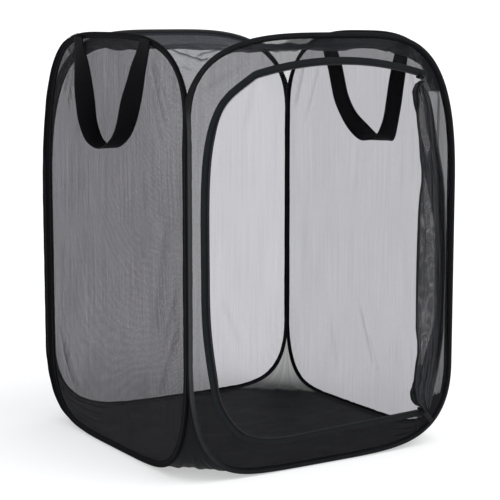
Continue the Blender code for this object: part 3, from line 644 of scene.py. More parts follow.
for wall, (loop, place, body) in WALLS.items():
    inner_edge = loop + normals_2d(loop) * 0.0052
    nt = 420
    angles = np.linspace(0, 2 * math.pi, nt, endpoint=False)
    centre = CENTRE[wall]
    r_out = radial(resample(inner_edge, 0.001, True), centre, angles)
    if wall == "front":
        r_in = radial(resample(hole_loop, 0.001, True), centre, angles)
        f = np.linspace(0, 1, 18)
        R = r_in[None, :] + (r_out - r_in)[None, :] * f[:, None]
    else:
        f = np.linspace(0.02, 1, 70) ** 0.8
        R = r_out[None, :] * f[:, None]
    U = centre[0] + R * np.cos(angles)[None, :]
    Z = centre[1] + R * np.sin(angles)[None, :]
    edge = ramp(r_out[None, :] - R, 0.0, 0.030)
    if wall == "front":
        edge = edge * ramp(R - r_in[None, :], 0.0, 0.020) * 0.5
    seed = {"front": 11.0, "back": 12.0, "left": 13.0, "right": 14.0}[wall]
    push = wander(U, Z, 0.11, seed) * 0.0030 + wander(U, Z, 0.035, seed + 1) * 0.0007
    dense = np.zeros_like(U)
    for a, b, width, depth, thick in CREASES[wall]:
        line, off = fold_line(U, Z, a, b, width)
        push = push + line * depth
        dense = dense + line * thick
        side, _ = fold_line(U, Z, a, b, width * 2.2)
        dense = dense - side * thick * 0.25
    # gathered fullness round the corners, where the net is eased into the curved edge
    around = np.arctan2(np.sin(angles), np.cos(angles))
    corner = np.exp(-(((np.abs(np.cos(angles)) - 0.62) / 0.16) ** 2))
    ease = np.sin(angles * 95 + 3 * np.sin(angles * 11))[None, :] * corner[None, :] * ramp(R / r_out[None, :], 0.86, 0.975) * (1 - ramp(R / r_out[None, :], 0.985, 1.0) * 0.8)
    push = push + ease * 0.0006
    dense = dense + np.abs(ease) * 0.035
    if wall == "front":  # doubled and sewn down where the zip ends
        dense = dense + 0.44 * ramp(U, 0.1430, 0.1446) * (ramp(Z, 0.4640, 0.4654) + 1 - ramp(Z, 0.0655, 0.0670))
        dense = dense + 0.16 * ramp(U, 0.160, 0.172) * (1 - ramp(Z, 0.300, 0.400)) + 0.06 * ramp(U, 0.160, 0.172) * ramp(Z, 0.300, 0.400)
    if wall == "left":  # drawn tight towards the top front corner
        dense = dense - 0.07 * ramp(-U, 0.05, 0.14) * ramp(Z, 0.33, 0.45)
    W = push * edge
    P = to_wall(wall, U, Z, W)
    verts = P.reshape(-1, 3)
    uvs = np.stack([U.ravel(), Z.ravel()], 1)
    dense = dense.ravel()
    faces = grid_faces(len(f), nt, False, True)
    if wall != "front":
        middle = len(verts)
        verts = np.vstack([verts, to_wall(wall, centre[0], centre[1], float(W[0].mean()))[None]])
        uvs = np.vstack([uvs, centre[None]])
        dense = np.append(dense, 0.0)
        faces += [(middle, j, (j + 1) % nt) for j in range(nt)]
    obj = make(wall + "_netting", verts, faces, NET[wall], uvs=uvs, attrs={"dense": dense}, sharp=0, body=body)
    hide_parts("front_surround_mesh" if wall == "front" else wall + "_mesh_panel")
    poly = inner_edge
    area = 0.5 * abs(np.dot(poly[:, 0], np.roll(poly[:, 1], -1)) - np.dot(poly[:, 1], np.roll(poly[:, 0], -1)))
    if wall == "front":
        area -= 0.5 * abs(np.dot(hole_loop[:, 0], np.roll(hole_loop[:, 1], -1)) - np.dot(hole_loop[:, 1], np.roll(hole_loop[:, 0], -1)))
    SHEETS[wall] = (obj, float(area))

# ---------------------------------------------------------------------------------------------------------- roof
EDGE = 0.1974


def corner_reach(x, y, sx, sy):
    """Distance in from a corner, measured along both walls together."""
    return np.maximum(EDGE - sx * x, 0.0) + np.maximum(SIDE_HALF - sy * y, 0.0)


def roof_taut(x, y):
    out = np.full(np.shape(x), HEIGHT)
    for (sx, sy), (wide_shape, side_shape) in TOPS.items():
        ex, ey = np.maximum(EDGE - sx * x, 0.0), np.maximum(SIDE_HALF - sy * y, 0.0)
        reach = np.maximum(ex + ey - 0.0024, 0.0)
        share = (ey + 0.0001) / (ex + ey + 0.0002)
        drop = (1 - share) * (wide_shape[2] - rise_at(wide_shape, reach)) + share * (side_shape[2] - rise_at(side_shape, reach))
        out = np.minimum(out, HEIGHT - drop)
    return out - 0.0024


g = np.sin(np.linspace(-1, 1, 151) * math.pi / 2)
X, Y = np.meshgrid(g * EDGE, g * EDGE, indexing="ij")
inward = np.maximum(1 - np.abs(X / EDGE) ** 13, 0.0) * np.maximum(1 - np.abs(Y / EDGE) ** 13, 0.0)
slack = ROOF_SAG + 0.0025 * np.exp(-(((X + 0.17) / 0.05) ** 2)) * (ramp(Y, -0.03, 0.0) * 2.6 - 1.6) + 0.0015 * np.exp(-(((Y + 0.17) / 0.05) ** 2))
near_edge = np.minimum(EDGE - np.abs(X), EDGE - np.abs(Y))
loose = ramp(near_edge, 0.002, 0.030)
ripple = wander(X * 1.0, Y * 1.7, 0.058, 21.0) * 0.0052 + wander(X * 1.4, Y, 0.026, 22.0) * 0.0018
Z = roof_taut(X, Y) - slack * inward + ripple * loose
roof_dense = np.zeros_like(Z)
flat_part = np.ones_like(Z)
for sx, sy in TOPS:
    ex, ey = np.maximum(EDGE - sx * X, 0.0), np.maximum(SIDE_HALF - sy * Y, 0.0)
    reach = ex + ey
    across = (ex - ey) / np.maximum(reach, 1e-6)
    pleats = np.sin(across * 9.0 + 2.0 * sx + sy) * 0.6 + np.sin(across * 21.0 + 1.3) * 0.4
    there = ramp(reach, 0.02, 0.05) * (1 - ramp(reach, 0.10, 0.17)) * (1 - np.abs(across) ** 6)
    Z = Z + pleats * there * 0.0012
    roof_dense = roof_dense + np.maximum(pleats, 0) ** 3 * there * 0.10
    flat_part = flat_part * (ramp(reach, 0.136, 0.150) if sx < 0 and sy < 0 else ramp(reach, 0.0625, 0.0675))
    if sx != sy:  # the two deep webs are sewn double
        roof_dense = roof_dense + 0.30 * (1 - ramp(reach, 0.056, 0.072)) * ramp(reach, 0.0, 0.004)
    roof_dense = roof_dense + 0.45 * (1 - ramp(reach, 0.0035, 0.0065))
roof_dense = roof_dense + (0.36 + 0.12 * ramp(Y, 0.06, 0.18)) * flat_part
for a, b, width, thick in (((-0.1850, -0.1100), (-0.1575, -0.1840), 0.0022, 0.60), ((-0.1650, -0.1570), (-0.1020, -0.1260), 0.0021, 0.45), ((-0.1925, -0.1640), (-0.1800, -0.1800), 0.0020, 0.10),
                           ((0.150, -0.120), (0.105, -0.180), 0.003, 0.15), ((0.120, 0.160), (0.165, 0.120), 0.003, 0.15), ((-0.160, 0.110), (-0.110, 0.165), 0.003, 0.15)):
    line, _ = fold_line(X, Y, a, b, width, 0.15)
    Z = Z + line * 0.0016
    roof_dense = roof_dense + line * thick
roof = make("roof_netting", np.stack([X, Y, Z], -1), grid_faces(*X.shape), NET["roof"], uvs=np.stack([X.ravel(), Y.ravel()], 1), attrs={"dense": roof_dense.ravel()}, sharp=0,
            body="front_wall")
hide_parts("roof_mesh_panel")

# ---------------------------------------------------------------------------------------------------------- floor
def floor_rise(x, y):
    return np.max([np.maximum(shape[2] - rise_at(shape, np.maximum(corner_reach(x, y, sx, sy) - 0.0024, 0.0)), 0.0) for (sx, sy), shape in FEET.items()], axis=0)


floor_mat = Nodes("floor_and_web_cloth")
n = floor_mat
uv = n.uv()
weave = weave_height(n, uv, 0.00085, 0.00085)
cloud = n.noise(n.coords(), 22.0, 4.0, 0.55)
fine = n.noise(uv, 1300.0, 2.0, 0.6)
colour = n.blend(n.ranged(n.math("ADD", n.math("MULTIPLY", cloud, 0.8), n.math("MULTIPLY", fine, 0.25)), 0.35, 0.75, 0, 1), rgb(0.0040, 0.0043, 0.0056), rgb(0.0078, 0.0081, 0.0102))
normal = n.bump(n.math("ADD", n.math("MULTIPLY", weave, 0.5), n.math("MULTIPLY", fine, 0.5)), 0.25, 0.0003)
cloth = n.principled(colour, n.ranged(cloud, 0.3, 0.7, 0.50, 0.60), specular=0.10, sheen=0.0, normal=normal)
u, v, _ = n.split(uv)
veil = n.attribute("veil")
k = 2 * math.pi / 0.00118
field = n.math("ADD", n.math("COSINE", n.math("MULTIPLY", u, k)), n.math("COSINE", n.math("MULTIPLY", v, k)))
hole = n.math("ADD", veil, n.math("MULTIPLY", n.math("MULTIPLY", field, veil), 0.15), clamp=True)
mix = n.new("ShaderNodeMixShader")
n.put(mix.inputs[0], hole)
n.put(mix.inputs[1], cloth)
n.put(mix.inputs[2], n.new("ShaderNodeBsdfTransparent").outputs[0])
FLOOR_CLOTH = floor_mat.done(mix.outputs[0])

g = np.sin(np.linspace(-1, 1, 151) * math.pi / 2)
X, Y = np.meshgrid(g * EDGE, g * EDGE, indexing="ij")
rise = floor_rise(X, Y)
near_edge = np.minimum(EDGE - np.abs(X), EDGE - np.abs(Y))
ripple = (wander(X, Y, 0.085, 31.0) + 0.4) * 0.0016 + (wander(X, Y * 1.5, 0.030, 32.0)) * 0.0005
Z = 0.0015 + rise + 0.0022 * (1 - ramp(near_edge, 0.0, 0.012)) + np.maximum(ripple, 0.0) * ramp(near_edge, 0.0, 0.03)
veil = np.zeros_like(Z)
for (sx, sy), shape in FEET.items():
    ex, ey = np.maximum(EDGE - sx * X, 0.0), np.maximum(SIDE_HALF - sy * Y, 0.0)
    reach = ex + ey
    across = (ex - ey) / np.maximum(reach, 1e-6)
    pleats = np.sin(across * 11.0 + 1.7 * sx) * 0.55 + np.sin(across * 24.0 + sy) * 0.45
    there = ramp(reach, 0.015, 0.04) * (1 - ramp(reach, 0.07, 0.12)) * (1 - np.abs(across) ** 6)
    Z = Z + pleats * there * 0.0013
    sheer = {(1, 1): 0.33, (-1, 1): 0.03}.get((sx, sy), 0.0)
    veil = np.maximum(veil, sheer * ramp(reach, 0.0030, 0.0060) * (1 - 0.72 * ramp(reach, 0.006, 0.070)) * (1 - ramp(reach, 0.076, 0.096)) * (0.85 + 0.15 * pleats))
floor = make("floor_fabric", np.stack([X, Y, Z], -1), grid_faces(*X.shape), FLOOR_CLOTH, uvs=np.stack([X.ravel(), Y.ravel()], 1), attrs={"veil": veil.ravel()}, sharp=0,
             body="front_wall")
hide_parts("floor_web_front_left", "floor_web_front_right", "floor_web_back_left", "floor_web_back_right")

# flat cloth under the hoops: a thin octagon with a soft rolled edge
cut, BASE = 0.122, 0.1955
corners = []
for sx, sy in ((-1, -1), (1, -1), (1, 1), (-1, 1)):
    ends = [(sx * (BASE - cut), sy * BASE), (sx * BASE, sy * (BASE - cut))]
    corners += ends if sx * sy < 0 else ends[::-1]
corners = np.array(corners)
ring = resample(corners, 0.004, True)
n2 = normals_2d(ring)
layers = []
for inset, z in ((0.0016, 0.0), (0.0004, 0.0001), (0.0, 0.0005), (0.0004, 0.0009), (0.0016, 0.0010)):
    q = ring + n2 * inset
    layers.append(np.column_stack([q, np.full(len(q), z)]))
verts = np.vstack(layers)
m = len(ring)
faces = grid_faces(len(layers), m, False, True)
faces = faces + [tuple(range(m)), tuple(range(4 * m, 5 * m))[::-1]]
base = make("floor_base_cloth", verts, faces, FLOOR, uvs=verts[:, :2], sharp=60)
fix_normals(base)
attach(base, "front_wall")
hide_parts("floor_panel")

# ---------------------------------------------------------------------------------------------------------- frame zip
def ribbon(name, line, normal, section, place, material, closed=False, body=None, caps=True, wider=None):
    """A flat section carried along a 2D line in a wall. section: (offset along the normal, height out of the wall)."""
    sec = np.asarray(section, float)
    s = lengths(line)[: len(line)]
    off = np.broadcast_to(sec[:, 0][None, :], (len(line), len(sec)))
    if wider is not None:
        off = off + wider[:, None] * (sec[:, 0] > 0)[None, :]
    U = line[:, 0][:, None] + normal[:, 0][:, None] * off
    V = line[:, 1][:, None] + normal[:, 1][:, None] * off
    W = np.broadcast_to(sec[:, 1][None, :], U.shape)
    P = np.stack([U, place - W, V], -1)
    ring = lengths(sec, True)
    nu, nv = U.shape
    faces = grid_faces(nu, nv, False, True)
    uvs = []
    for i in range(nu - 1):
        for j in range(nv):
            for di, dj in ((0, 0), (1, 0), (1, 1), (0, 1)):
                uvs.append((s[i + di], ring[j + dj]))
    if caps:
        faces += [tuple(range(nv)), tuple(range((nu - 1) * nv, nu * nv))[::-1]]
        uvs += [(0, 0)] * (2 * nv)
    obj = make(name, P, faces, material, uvs=uvs, sharp=45)
    fix_normals(obj)
    if body:
        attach(obj, body)
    return obj


tape_section = [(0.0005, -0.0004), (0.0005, 0.0002), (-0.0010, 0.0004), (-0.0022, 0.00032), (-0.0048, 0.0004), (-0.0062, 0.00030), (-0.0084, 0.0004), (-0.0089, 0.0002), (-0.0089, -0.0002), (-0.0084, -0.0004)]
wider = 0.0027 * ramp(-ZIP_LINE[:, 0], 0.135, 0.168) * ramp(ZIP_LINE[:, 1], 0.080, 0.130) * (1 - ramp(ZIP_LINE[:, 1], 0.420, 0.470))
tape = ribbon("frame_zip_tape_cloth", ZIP_LINE, ZIP_N, tape_section, TAPE_Y, TAPE, body="front_wall", wider=wider)
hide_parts("frame_zip_tape")


def coil_teeth(name, line, normal, y, pitch, across, out, thread, body, up=(0.0, -1.0, 0.0)):
    """A zip's moulded coil: one filament wound in flattened loops along the line."""
    fine_line = resample(line, pitch / 8)
    fine_normal = normals_2d(fine_line, closed=False)
    s = lengths(fine_line)[: len(fine_line)]
    a = 2 * math.pi * s / pitch
    U = fine_line[:, 0] + fine_normal[:, 0] * across * np.cos(a)
    V = fine_line[:, 1] + fine_normal[:, 1] * across * np.cos(a)
    centre = np.stack([U, y - out * np.sin(a), V], 1)
    tangent = np.gradient(centre, axis=0)
    tangent /= np.linalg.norm(tangent, axis=1)[:, None]
    side = np.cross(tangent, np.array([0.0, 1.0, 0.0]) + 0.3 * np.column_stack([fine_normal[:, 0], np.zeros(len(s)), fine_normal[:, 1]]))
    side /= np.linalg.norm(side, axis=1)[:, None]
    other = np.cross(tangent, side)
    ring = np.linspace(0, 2 * math.pi, 5, endpoint=False)
    P = centre[:, None, :] + thread * (side[:, None, :] * np.cos(ring)[None, :, None] + other[:, None, :] * np.sin(ring)[None, :, None])
    nu, nv = P.shape[:2]
    faces = grid_faces(nu, nv, False, True) + [tuple(range(nv)), tuple(range((nu - 1) * nv, nu * nv))[::-1]]
    obj = make(name, P, faces, COIL, sharp=0)
    fix_normals(obj)
    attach(obj, body)
    return obj


coil = coil_teeth("frame_zip_coil_teeth", ZIP_LINE, ZIP_N, COIL_Y, 0.0014, 0.00082, 0.00072, 0.00034, "front_wall")
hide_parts("frame_zip_coil")

# ---------------------------------------------------------------------------------------------------------- door
# (height, across): the bundle's left edge, right edge, and the edges of the two places where only a few layers lie over each other
DOOR_LEFT = [(0.0505, 0.1440), (0.0551, 0.1360), (0.0641, 0.1258), (0.0752, 0.1225), (0.0857, 0.1235), (0.0944, 0.1273), (0.114, 0.1294), (0.1269, 0.1319), (0.1428, 0.1316), (0.1602, 0.1285), (0.2125, 0.1284),
             (0.2644, 0.1290), (0.3132, 0.1299), (0.3349, 0.1314), (0.3514, 0.1340), (0.3667, 0.1337), (0.3821, 0.1309), (0.3949, 0.1299), (0.4101, 0.1285), (0.4241, 0.1261), (0.4405, 0.1243),
             (0.4494, 0.1220), (0.4595, 0.1189), (0.4658, 0.1177), (0.4720, 0.1193), (0.4784, 0.1250)]
DOOR_RIGHT = [(0.0505, 0.1560), (0.0548, 0.1585), (0.0664, 0.1617), (0.0795, 0.1644), (0.0951, 0.1685), (0.1082, 0.1711), (0.1344, 0.1752), (0.1541, 0.1777), (0.1940, 0.1788), (0.2700, 0.1790), (0.3124, 0.1768), (0.3384, 0.1748), (0.3579, 0.1722),
              (0.3800, 0.1672), (0.4034, 0.1614), (0.4291, 0.1563), (0.4419, 0.1533), (0.4547, 0.1493), (0.4649, 0.1448), (0.4751, 0.1409)]
THIN_UPPER = ([(0.388, 0.1408), (0.397, 0.1382), (0.4074, 0.1339), (0.4176, 0.1313), (0.4303, 0.1287), (0.443, 0.1262), (0.4556, 0.1275), (0.4656, 0.1285)],
              [(0.3853, 0.144), (0.3965, 0.1493), (0.4068, 0.1468), (0.4172, 0.1422), (0.4299, 0.1405), (0.4426, 0.138), (0.4552, 0.1369), (0.4654, 0.1343)])
THIN_LOWER = ([(0.109, 0.1385), (0.1328, 0.138), (0.1527, 0.1376), (0.1722, 0.1393), (0.1983, 0.1407), (0.2124, 0.1435), (0.2567, 0.1435), (0.2943, 0.1437), (0.319, 0.1393), (0.3627, 0.1374)],
              [(0.1089, 0.1393), (0.1318, 0.147), (0.1495, 0.154), (0.1636, 0.1587), (0.1776, 0.1633), (0.196, 0.1648), (0.2103, 0.1658), (0.2484, 0.165), (0.2747, 0.1624), (0.288, 0.1591),
               (0.3077, 0.155), (0.3274, 0.1501), (0.3405, 0.1456), (0.3535, 0.1425), (0.3627, 0.1384)])
line_at = lambda keys, z: float(np.interp(z, [k for k, _ in keys], [v for _, v in keys]))
rows = 250
zs = np.linspace(0.0508, 0.4745, rows)
random = np.random.default_rng(5)
PLEATS = 6
strips = []
shades = []
for z in zs:
    left, right = line_at(DOOR_LEFT, z) + 0.0008, line_at(DOOR_RIGHT, z)
    free = ramp(z, 0.058, 0.150) * (1 - ramp(z, 0.385, 0.474))
    depth = 0.0065 + 0.0130 * free
    sway = 0.0008 * math.sin(z * 47.0) + 0.0005 * math.sin(z * 101.0)
    X, D, S = [], [], []
    # pleats stacked at the sewn side
    for k in range(PLEATS):
        at = right - 0.0012 - k * min(0.0021, (right - left) / 14) + sway * (k / PLEATS)
        jog = 0.0009 * math.sin(z * 60.0 + k * 2.1)
        for f, q in ((0.0, 0.00), (0.10, 0.55), (0.35, 0.75), (0.80, 0.60), (1.0, 0.45), (1.0, 0.20), (0.80, 0.05), (0.35, -0.10)):
            X.append(at - 0.0010 * (q if f < 1 else q) + jog * f)
            D.append(0.0010 + (depth - 0.0035) * f)
            S.append(0.10)
    # back layer to the left, round the edge, front layer to the right, then the inner layer back to the left
    start = X[-1]
    for f in np.linspace(0.06, 1.0, 14):
        X.append(start + (left + 0.0006 - start) * f)
        D.append(0.0012 + 0.0010 * math.sin(f * 9 + z * 30) * (1 - f))
        S.append(-0.09)
    for a in (-50, 0, 50):
        X.append(left + 0.0006 - 0.0006 * math.cos(math.radians(a)))
        D.append(0.0012 + (depth * 0.62 - 0.0012) * (a + 90) / 180)
        S.append(0.10)
    upper, lower = z > 0.375, z < 0.375
    a_line, b_line = (line_at(k, z) for k in (THIN_UPPER if upper else THIN_LOWER))
    seen = float(ramp(z, 0.383, 0.390) * (1 - ramp(z, 0.4630, 0.4660))) if upper else float(ramp(z, 0.108, 0.118) * (1 - ramp(z, 0.355, 0.364)))
    for f in np.linspace(0.0, 1.0, 58):
        x = left + (right - left) * f
        thin = float(ramp(x, a_line - 0.0006, a_line + 0.0006) * (1 - ramp(x, b_line - 0.0007, b_line + 0.0007))) * seen
        belly = math.sin(math.pi * min(max((x - a_line) / max(b_line - a_line, 1e-4), 0), 1)) * seen
        wave = 0.0011 * math.sin(f * 19 + 2.2 * math.sin(z * 23)) + 0.0006 * math.sin(f * 47 + z * 60)
        X.append(x)
        D.append(depth * (0.62 + 0.26 * math.sin(math.pi * f) ** 0.5) + 0.0030 * belly + wave * math.sin(math.pi * f))
        shade = 0.45 * (1 - thin) + (random.normal(0.0, 0.11) - 0.15) * thin
        if x < a_line and lower:
            shade = 0.45 + (0.10 - 0.45) * seen
            shade += 0.30 * math.exp(-(((x - a_line + 0.0009) / 0.0009) ** 2))
            shade += 0.12 * math.sin(x * 2600 + 2 * math.sin(z * 31)) * seen
        if upper and seen:
            shade -= 0.10 * float(ramp(x, 0.1440, 0.1450)) * thin
        if x > b_line:
            shade += 0.05 * math.sin(x * 1900 + 3 * math.sin(z * 14.0))
        S.append(shade)
    top = D[-1]
    for a in (50, 0, -50):
        X.append(right + 0.0004 + 0.0006 * math.cos(math.radians(a)))
        D.append(top - 0.0012 + 0.0012 * math.sin(math.radians(a)))
        S.append(0.30)
    for f in np.linspace(0.05, 1.0, 22):
        X.append(right - (right - left - 0.0022) * f)
        D.append(depth * 0.52 + 0.0008 * math.sin(f * 15 + z * 45))
        S.append(-0.09)
    strips.append(np.column_stack([X, -0.2010 - np.array(D), np.full(len(X), z)]))
    shades.append(S)
door = np.array(strips)
dense = np.array(shades)
cols = door.shape[1]
# the whole bundle leans over towards the seam as it goes back
reach = np.clip((door[:, :, 0] - door[:, :, 0].min(1)[:, None]) / np.ptp(door[:, :, 0], axis=1)[:, None], 0, 1)
door[:, :, 0] += (door[:, :, 1] + 0.2125 - 0.0045 * reach) * 0.779
pinch = np.array([ramp(z, 0.058, 0.150) * (1 - ramp(z, 0.400, 0.474)) for z in zs])
door[:, :, 2] += 0.0022 * np.sin(np.linspace(0, 30, cols))[None, :] * (1 - pinch)[:, None]
# the first strip joins the bundle to the sewn side of the opening as one layer
strip = np.zeros((rows, 6, 3))
for i, z in enumerate(zs):
    sew = np.array([table(z, [(0.0508, 0.1640), (0.060, 0.1690), (0.090, 0.1730), (0.455, 0.1730), (0.4745, 0.1640)]), -0.1985, z])
    for j in range(6):
        t = j / 6
        strip[i, j] = sew * (1 - t) + door[i, 0] * t
        strip[i, j, 1] -= 0.0015 * math.sin(math.pi * t)
P = np.concatenate([strip, door], 1)
dense = np.concatenate([np.full((rows, 6), 0.02), dense], 1)
cols += 6
span = np.array([lengths(P[i])[:cols] for i in range(rows)])
uvs = np.stack([span.ravel(), np.repeat(zs, cols)], 1)
door_net = make("door_netting_gathered", P, grid_faces(rows, cols), NET["door"], uvs=uvs, attrs={"dense": dense.ravel()}, sharp=0, body="door")
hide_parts("door_mesh")

# door side of the zip: tape along the bundle's left edge, folded over at top and bottom
edge_z = np.linspace(0.440, 0.096, 90)
edge_x = np.array([line_at(DOOR_LEFT, z) for z in edge_z]) + 0.0014
top_turn = [(0.1375, -0.2075, 0.4788), (0.1330, -0.2085, 0.4770), (0.1268, -0.2100, 0.4722), (0.1228, -0.2112, 0.4665), (0.1228, -0.2122, 0.4600), (0.1243, -0.2125, 0.4500)]
low_turn = [(0.1288, -0.2125, 0.0930), (0.1278, -0.2123, 0.0857), (0.1270, -0.2118, 0.0752), (0.1300, -0.2105, 0.0655), (0.1370, -0.2088, 0.0585), (0.1440, -0.2075, 0.0552)]
spine = np.vstack([catmull(top_turn, 6), np.column_stack([edge_x, np.full(90, -0.2125), edge_z])[1:-1], catmull(low_turn, 6)])
spine = resample(spine, 0.0035)
depth_there = 0.0065 + 0.0130 * ramp(spine[:, 2], 0.058, 0.150) * (1 - ramp(spine[:, 2], 0.385, 0.474))
forward = -0.2012 - 0.62 * depth_there - spine[:, 1]  # the tape stays on the netting's edge
spine[:, 0] += forward * 0.779
spine[:, 1] += forward
tan = np.gradient(spine, axis=0)
tan /= np.linalg.norm(tan, axis=1)[:, None]
lean = -0.44 + 0.06 * np.sin(spine[:, 2] * 30.0) + 0.48 * ramp(spine[:, 2], 0.437, 0.452) + 0.72 * (1 - ramp(spine[:, 2], 0.074, 0.086))
wide = np.stack([np.sin(lean) * 1.0, -np.cos(lean), np.zeros(len(spine))], 1)
wide -= tan * np.sum(wide * tan, 1)[:, None]
wide /= np.linalg.norm(wide, axis=1)[:, None]
thin = np.cross(tan, wide)
sec = [(-0.005, -0.0003), (-0.002, -0.0004), (0.003, -0.0004), (0.005, -0.0003), (0.005, 0.0003), (0.003, 0.0004), (-0.002, 0.0004), (-0.005, 0.0003)]
P = np.stack([spine + wide * a + thin * b for a, b in sec], 1)
ring = lengths(np.array(sec), True)
s = lengths(spine)[: len(spine)]
faces = grid_faces(len(spine), len(sec), False, True)
uvs = []
for i in range(len(spine) - 1):
    for j in range(len(sec)):
        for di, dj in ((0, 0), (1, 0), (1, 1), (0, 1)):
            uvs.append((s[i + di], ring[j + dj]))
faces += [tuple(range(len(sec))), tuple(range((len(spine) - 1) * len(sec), len(spine) * len(sec)))[::-1]]
uvs += [(0, 0)] * (2 * len(sec))
door_tape = make("door_zip_tape_cloth", P, faces, TAPE, uvs=uvs, sharp=45)
fix_normals(door_tape)
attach(door_tape, "door")
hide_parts("door_zip_tape")

coil_line = spine + wide * 0.0056
fine = resample(coil_line, 0.0014 / 8)
s = lengths(fine)[: len(fine)]
f_t = np.gradient(fine, axis=0)
f_t /= np.linalg.norm(f_t, axis=1)[:, None]
f_w = np.stack([np.interp(s, lengths(coil_line)[: len(coil_line)], wide[:, k]) for k in range(3)], 1)
f_n = np.cross(f_t, f_w)
a = 2 * math.pi * s / 0.0014
centre = fine + f_w * (0.00080 * np.cos(a))[:, None] + f_n * (0.00070 * np.sin(a))[:, None]
t3 = np.gradient(centre, axis=0)
t3 /= np.linalg.norm(t3, axis=1)[:, None]
side = np.cross(t3, f_w + 0.3 * f_n)
side /= np.linalg.norm(side, axis=1)[:, None]
other = np.cross(t3, side)
r5 = np.linspace(0, 2 * math.pi, 5, endpoint=False)
P = centre[:, None, :] + 0.00033 * (side[:, None, :] * np.cos(r5)[None, :, None] + other[:, None, :] * np.sin(r5)[None, :, None])
door_coil = make("door_zip_coil_teeth", P, grid_faces(len(fine), 5, False, True) + [tuple(range(5)), tuple(range((len(fine) - 1) * 5, len(fine) * 5))[::-1]], COIL, sharp=0)
fix_normals(door_coil)
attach(door_coil, "door")
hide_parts("door_zip_coil")

# ---------------------------------------------------------------------------------------------------------- handles
STRAP_WIDTH, STRAP_THICK, STRAP_HINGE_Z, STRAP_OUT = 0.025, 0.0016, 0.5335, 0.0013
STRAPS = {  # across, height, turn in degrees
    "left": (-1, [(-0.0990, 0.5335, 0), (-0.0988, 0.5270, 0), (-0.0940, 0.5120, 7), (-0.0885, 0.4957, 18), (-0.0848, 0.4770, 32),
                  (-0.0816, 0.4591, 52), (-0.0742, 0.4339, 78), (-0.0595, 0.4145, 88), (-0.0385, 0.4015, 90), (-0.0160, 0.3965, 90),
                  (0.0068, 0.4005, 90), (0.0211, 0.4092, 92), (0.0340, 0.4270, 98), (0.0430, 0.4530, 116), (0.0554, 0.4784, 140),
                  (0.0660, 0.4970, 157), (0.0780, 0.5150, 172), (0.0832, 0.5270, 180), (0.0834, 0.5335, 180)]),
    "right": (1, [(-0.0850, 0.5335, 0), (-0.0848, 0.5270, 0), (-0.0790, 0.5120, 4), (-0.0700, 0.4900, 14), (-0.0625, 0.4650, 19),
                  (-0.0578, 0.4429, 20), (-0.0510, 0.4160, 20), (-0.0380, 0.3985, 42), (-0.0215, 0.3908, 75), (-0.0050, 0.3888, 90),
                  (0.0125, 0.3925, 118), (0.0300, 0.4050, 150), (0.0470, 0.4200, 162), (0.0662, 0.4435, 160), (0.0760, 0.4680, 160),
                  (0.0833, 0.4890, 162), (0.0960, 0.5150, 168), (0.1015, 0.5270, 180), (0.1017, 0.5335, 180)]),
}
for side_name, (sign, points) in STRAPS.items():
    line = catmull(points, 8)
    line, twist = line[:, :2], np.radians(line[:, 2])
    s = lengths(line)[: len(line)]
    f = s / s[-1]
    n2 = normals_2d(line, closed=False)
    half_w, half_t = STRAP_WIDTH / 2, STRAP_THICK / 2
    sec = []
    for cx, cy, a0 in ((half_w - 0.0005, half_t - 0.0005, 0), (-half_w + 0.0005, half_t - 0.0005, 90), (-half_w + 0.0005, -half_t + 0.0005, 180), (half_w - 0.0005, -half_t + 0.0005, 270)):
        for k in range(3):
            a = math.radians(a0 + 45 * k)
            sec.append((cx + 0.0005 * math.cos(a), cy + 0.0005 * math.sin(a)))
    dense_sec = []
    for (x0, y0), (x1, y1) in zip(sec, sec[1:] + sec[:1]):
        dense_sec.append((x0, y0))
        if abs(x1 - x0) > 0.01:
            dense_sec += [(x0 + (x1 - x0) * t, y0) for t in (0.17, 0.33, 0.5, 0.67, 0.83)]
    sec = np.array(dense_sec)
    cup = 0.0010 * np.sin(np.pi * f) * np.sin(9 * f + sign)
    a, b = sec[:, 0][None, :], sec[:, 1][None, :]
    b = b + cup[:, None] * (1 - (a / half_w) ** 2)
    width_dir_n = np.cos(twist)[:, None]  # share of the width that lies in the wall's plane
    width_dir_w = np.sin(twist)[:, None]
    nx = a * width_dir_n + sign * b * width_dir_w
    ww = b * width_dir_n - sign * a * width_dir_w
    lift = STRAP_OUT + 0.5 * STRAP_WIDTH * np.sin(twist)[:, None]
    U = line[:, 0][:, None] + n2[:, 0][:, None] * nx
    V = line[:, 1][:, None] + n2[:, 1][:, None] * nx
    hoop_line = WALLS[side_name][0]
    upper = hoop_line[hoop_line[:, 1] > 0.40]
    upper = upper[np.argsort(upper[:, 0])]
    V = np.minimum(V, np.interp(U, upper[:, 0], upper[:, 1]) - 0.0016)
    P = np.stack([sign * (HALF + lift + ww), U, V], -1)
    ring = lengths(sec, True)
    nu, nv = U.shape
    faces = grid_faces(nu, nv, False, True)
    uvs = []
    for i in range(nu - 1):
        for j in range(nv):
            for di, dj in ((0, 0), (1, 0), (1, 1), (0, 1)):
                uvs.append((s[i + di], ring[j + dj]))
    faces += [tuple(range(nv)), tuple(range((nu - 1) * nv, nu * nv))[::-1]]
    uvs += [(0, 0)] * (2 * nv)
    strap = make(side_name + "_webbing_handle", P, faces, WEBBING, uvs=uvs, sharp=50)
    fix_normals(strap)
    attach(strap, side_name + "_carry_handle")
    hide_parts(side_name + "_handle")

# ---------------------------------------------------------------------------------------------------------- CAD nodes kept
# the lower pull tab takes the darker zinc copy, which is painted shade
for node, material in [(w + "_hoop_wire", WIRE) for w in WALLS] + [(w + "_hoop_ferrule", WIRE) for w in WALLS] + [("upper_slider", SLIDER), ("lower_slider", SLIDER), ("upper_pull_tab", PULL), ("lower_pull_tab", PULL_SHADED)]:
    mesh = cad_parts[node].data
    mesh.materials.clear()
    mesh.materials.append(material)
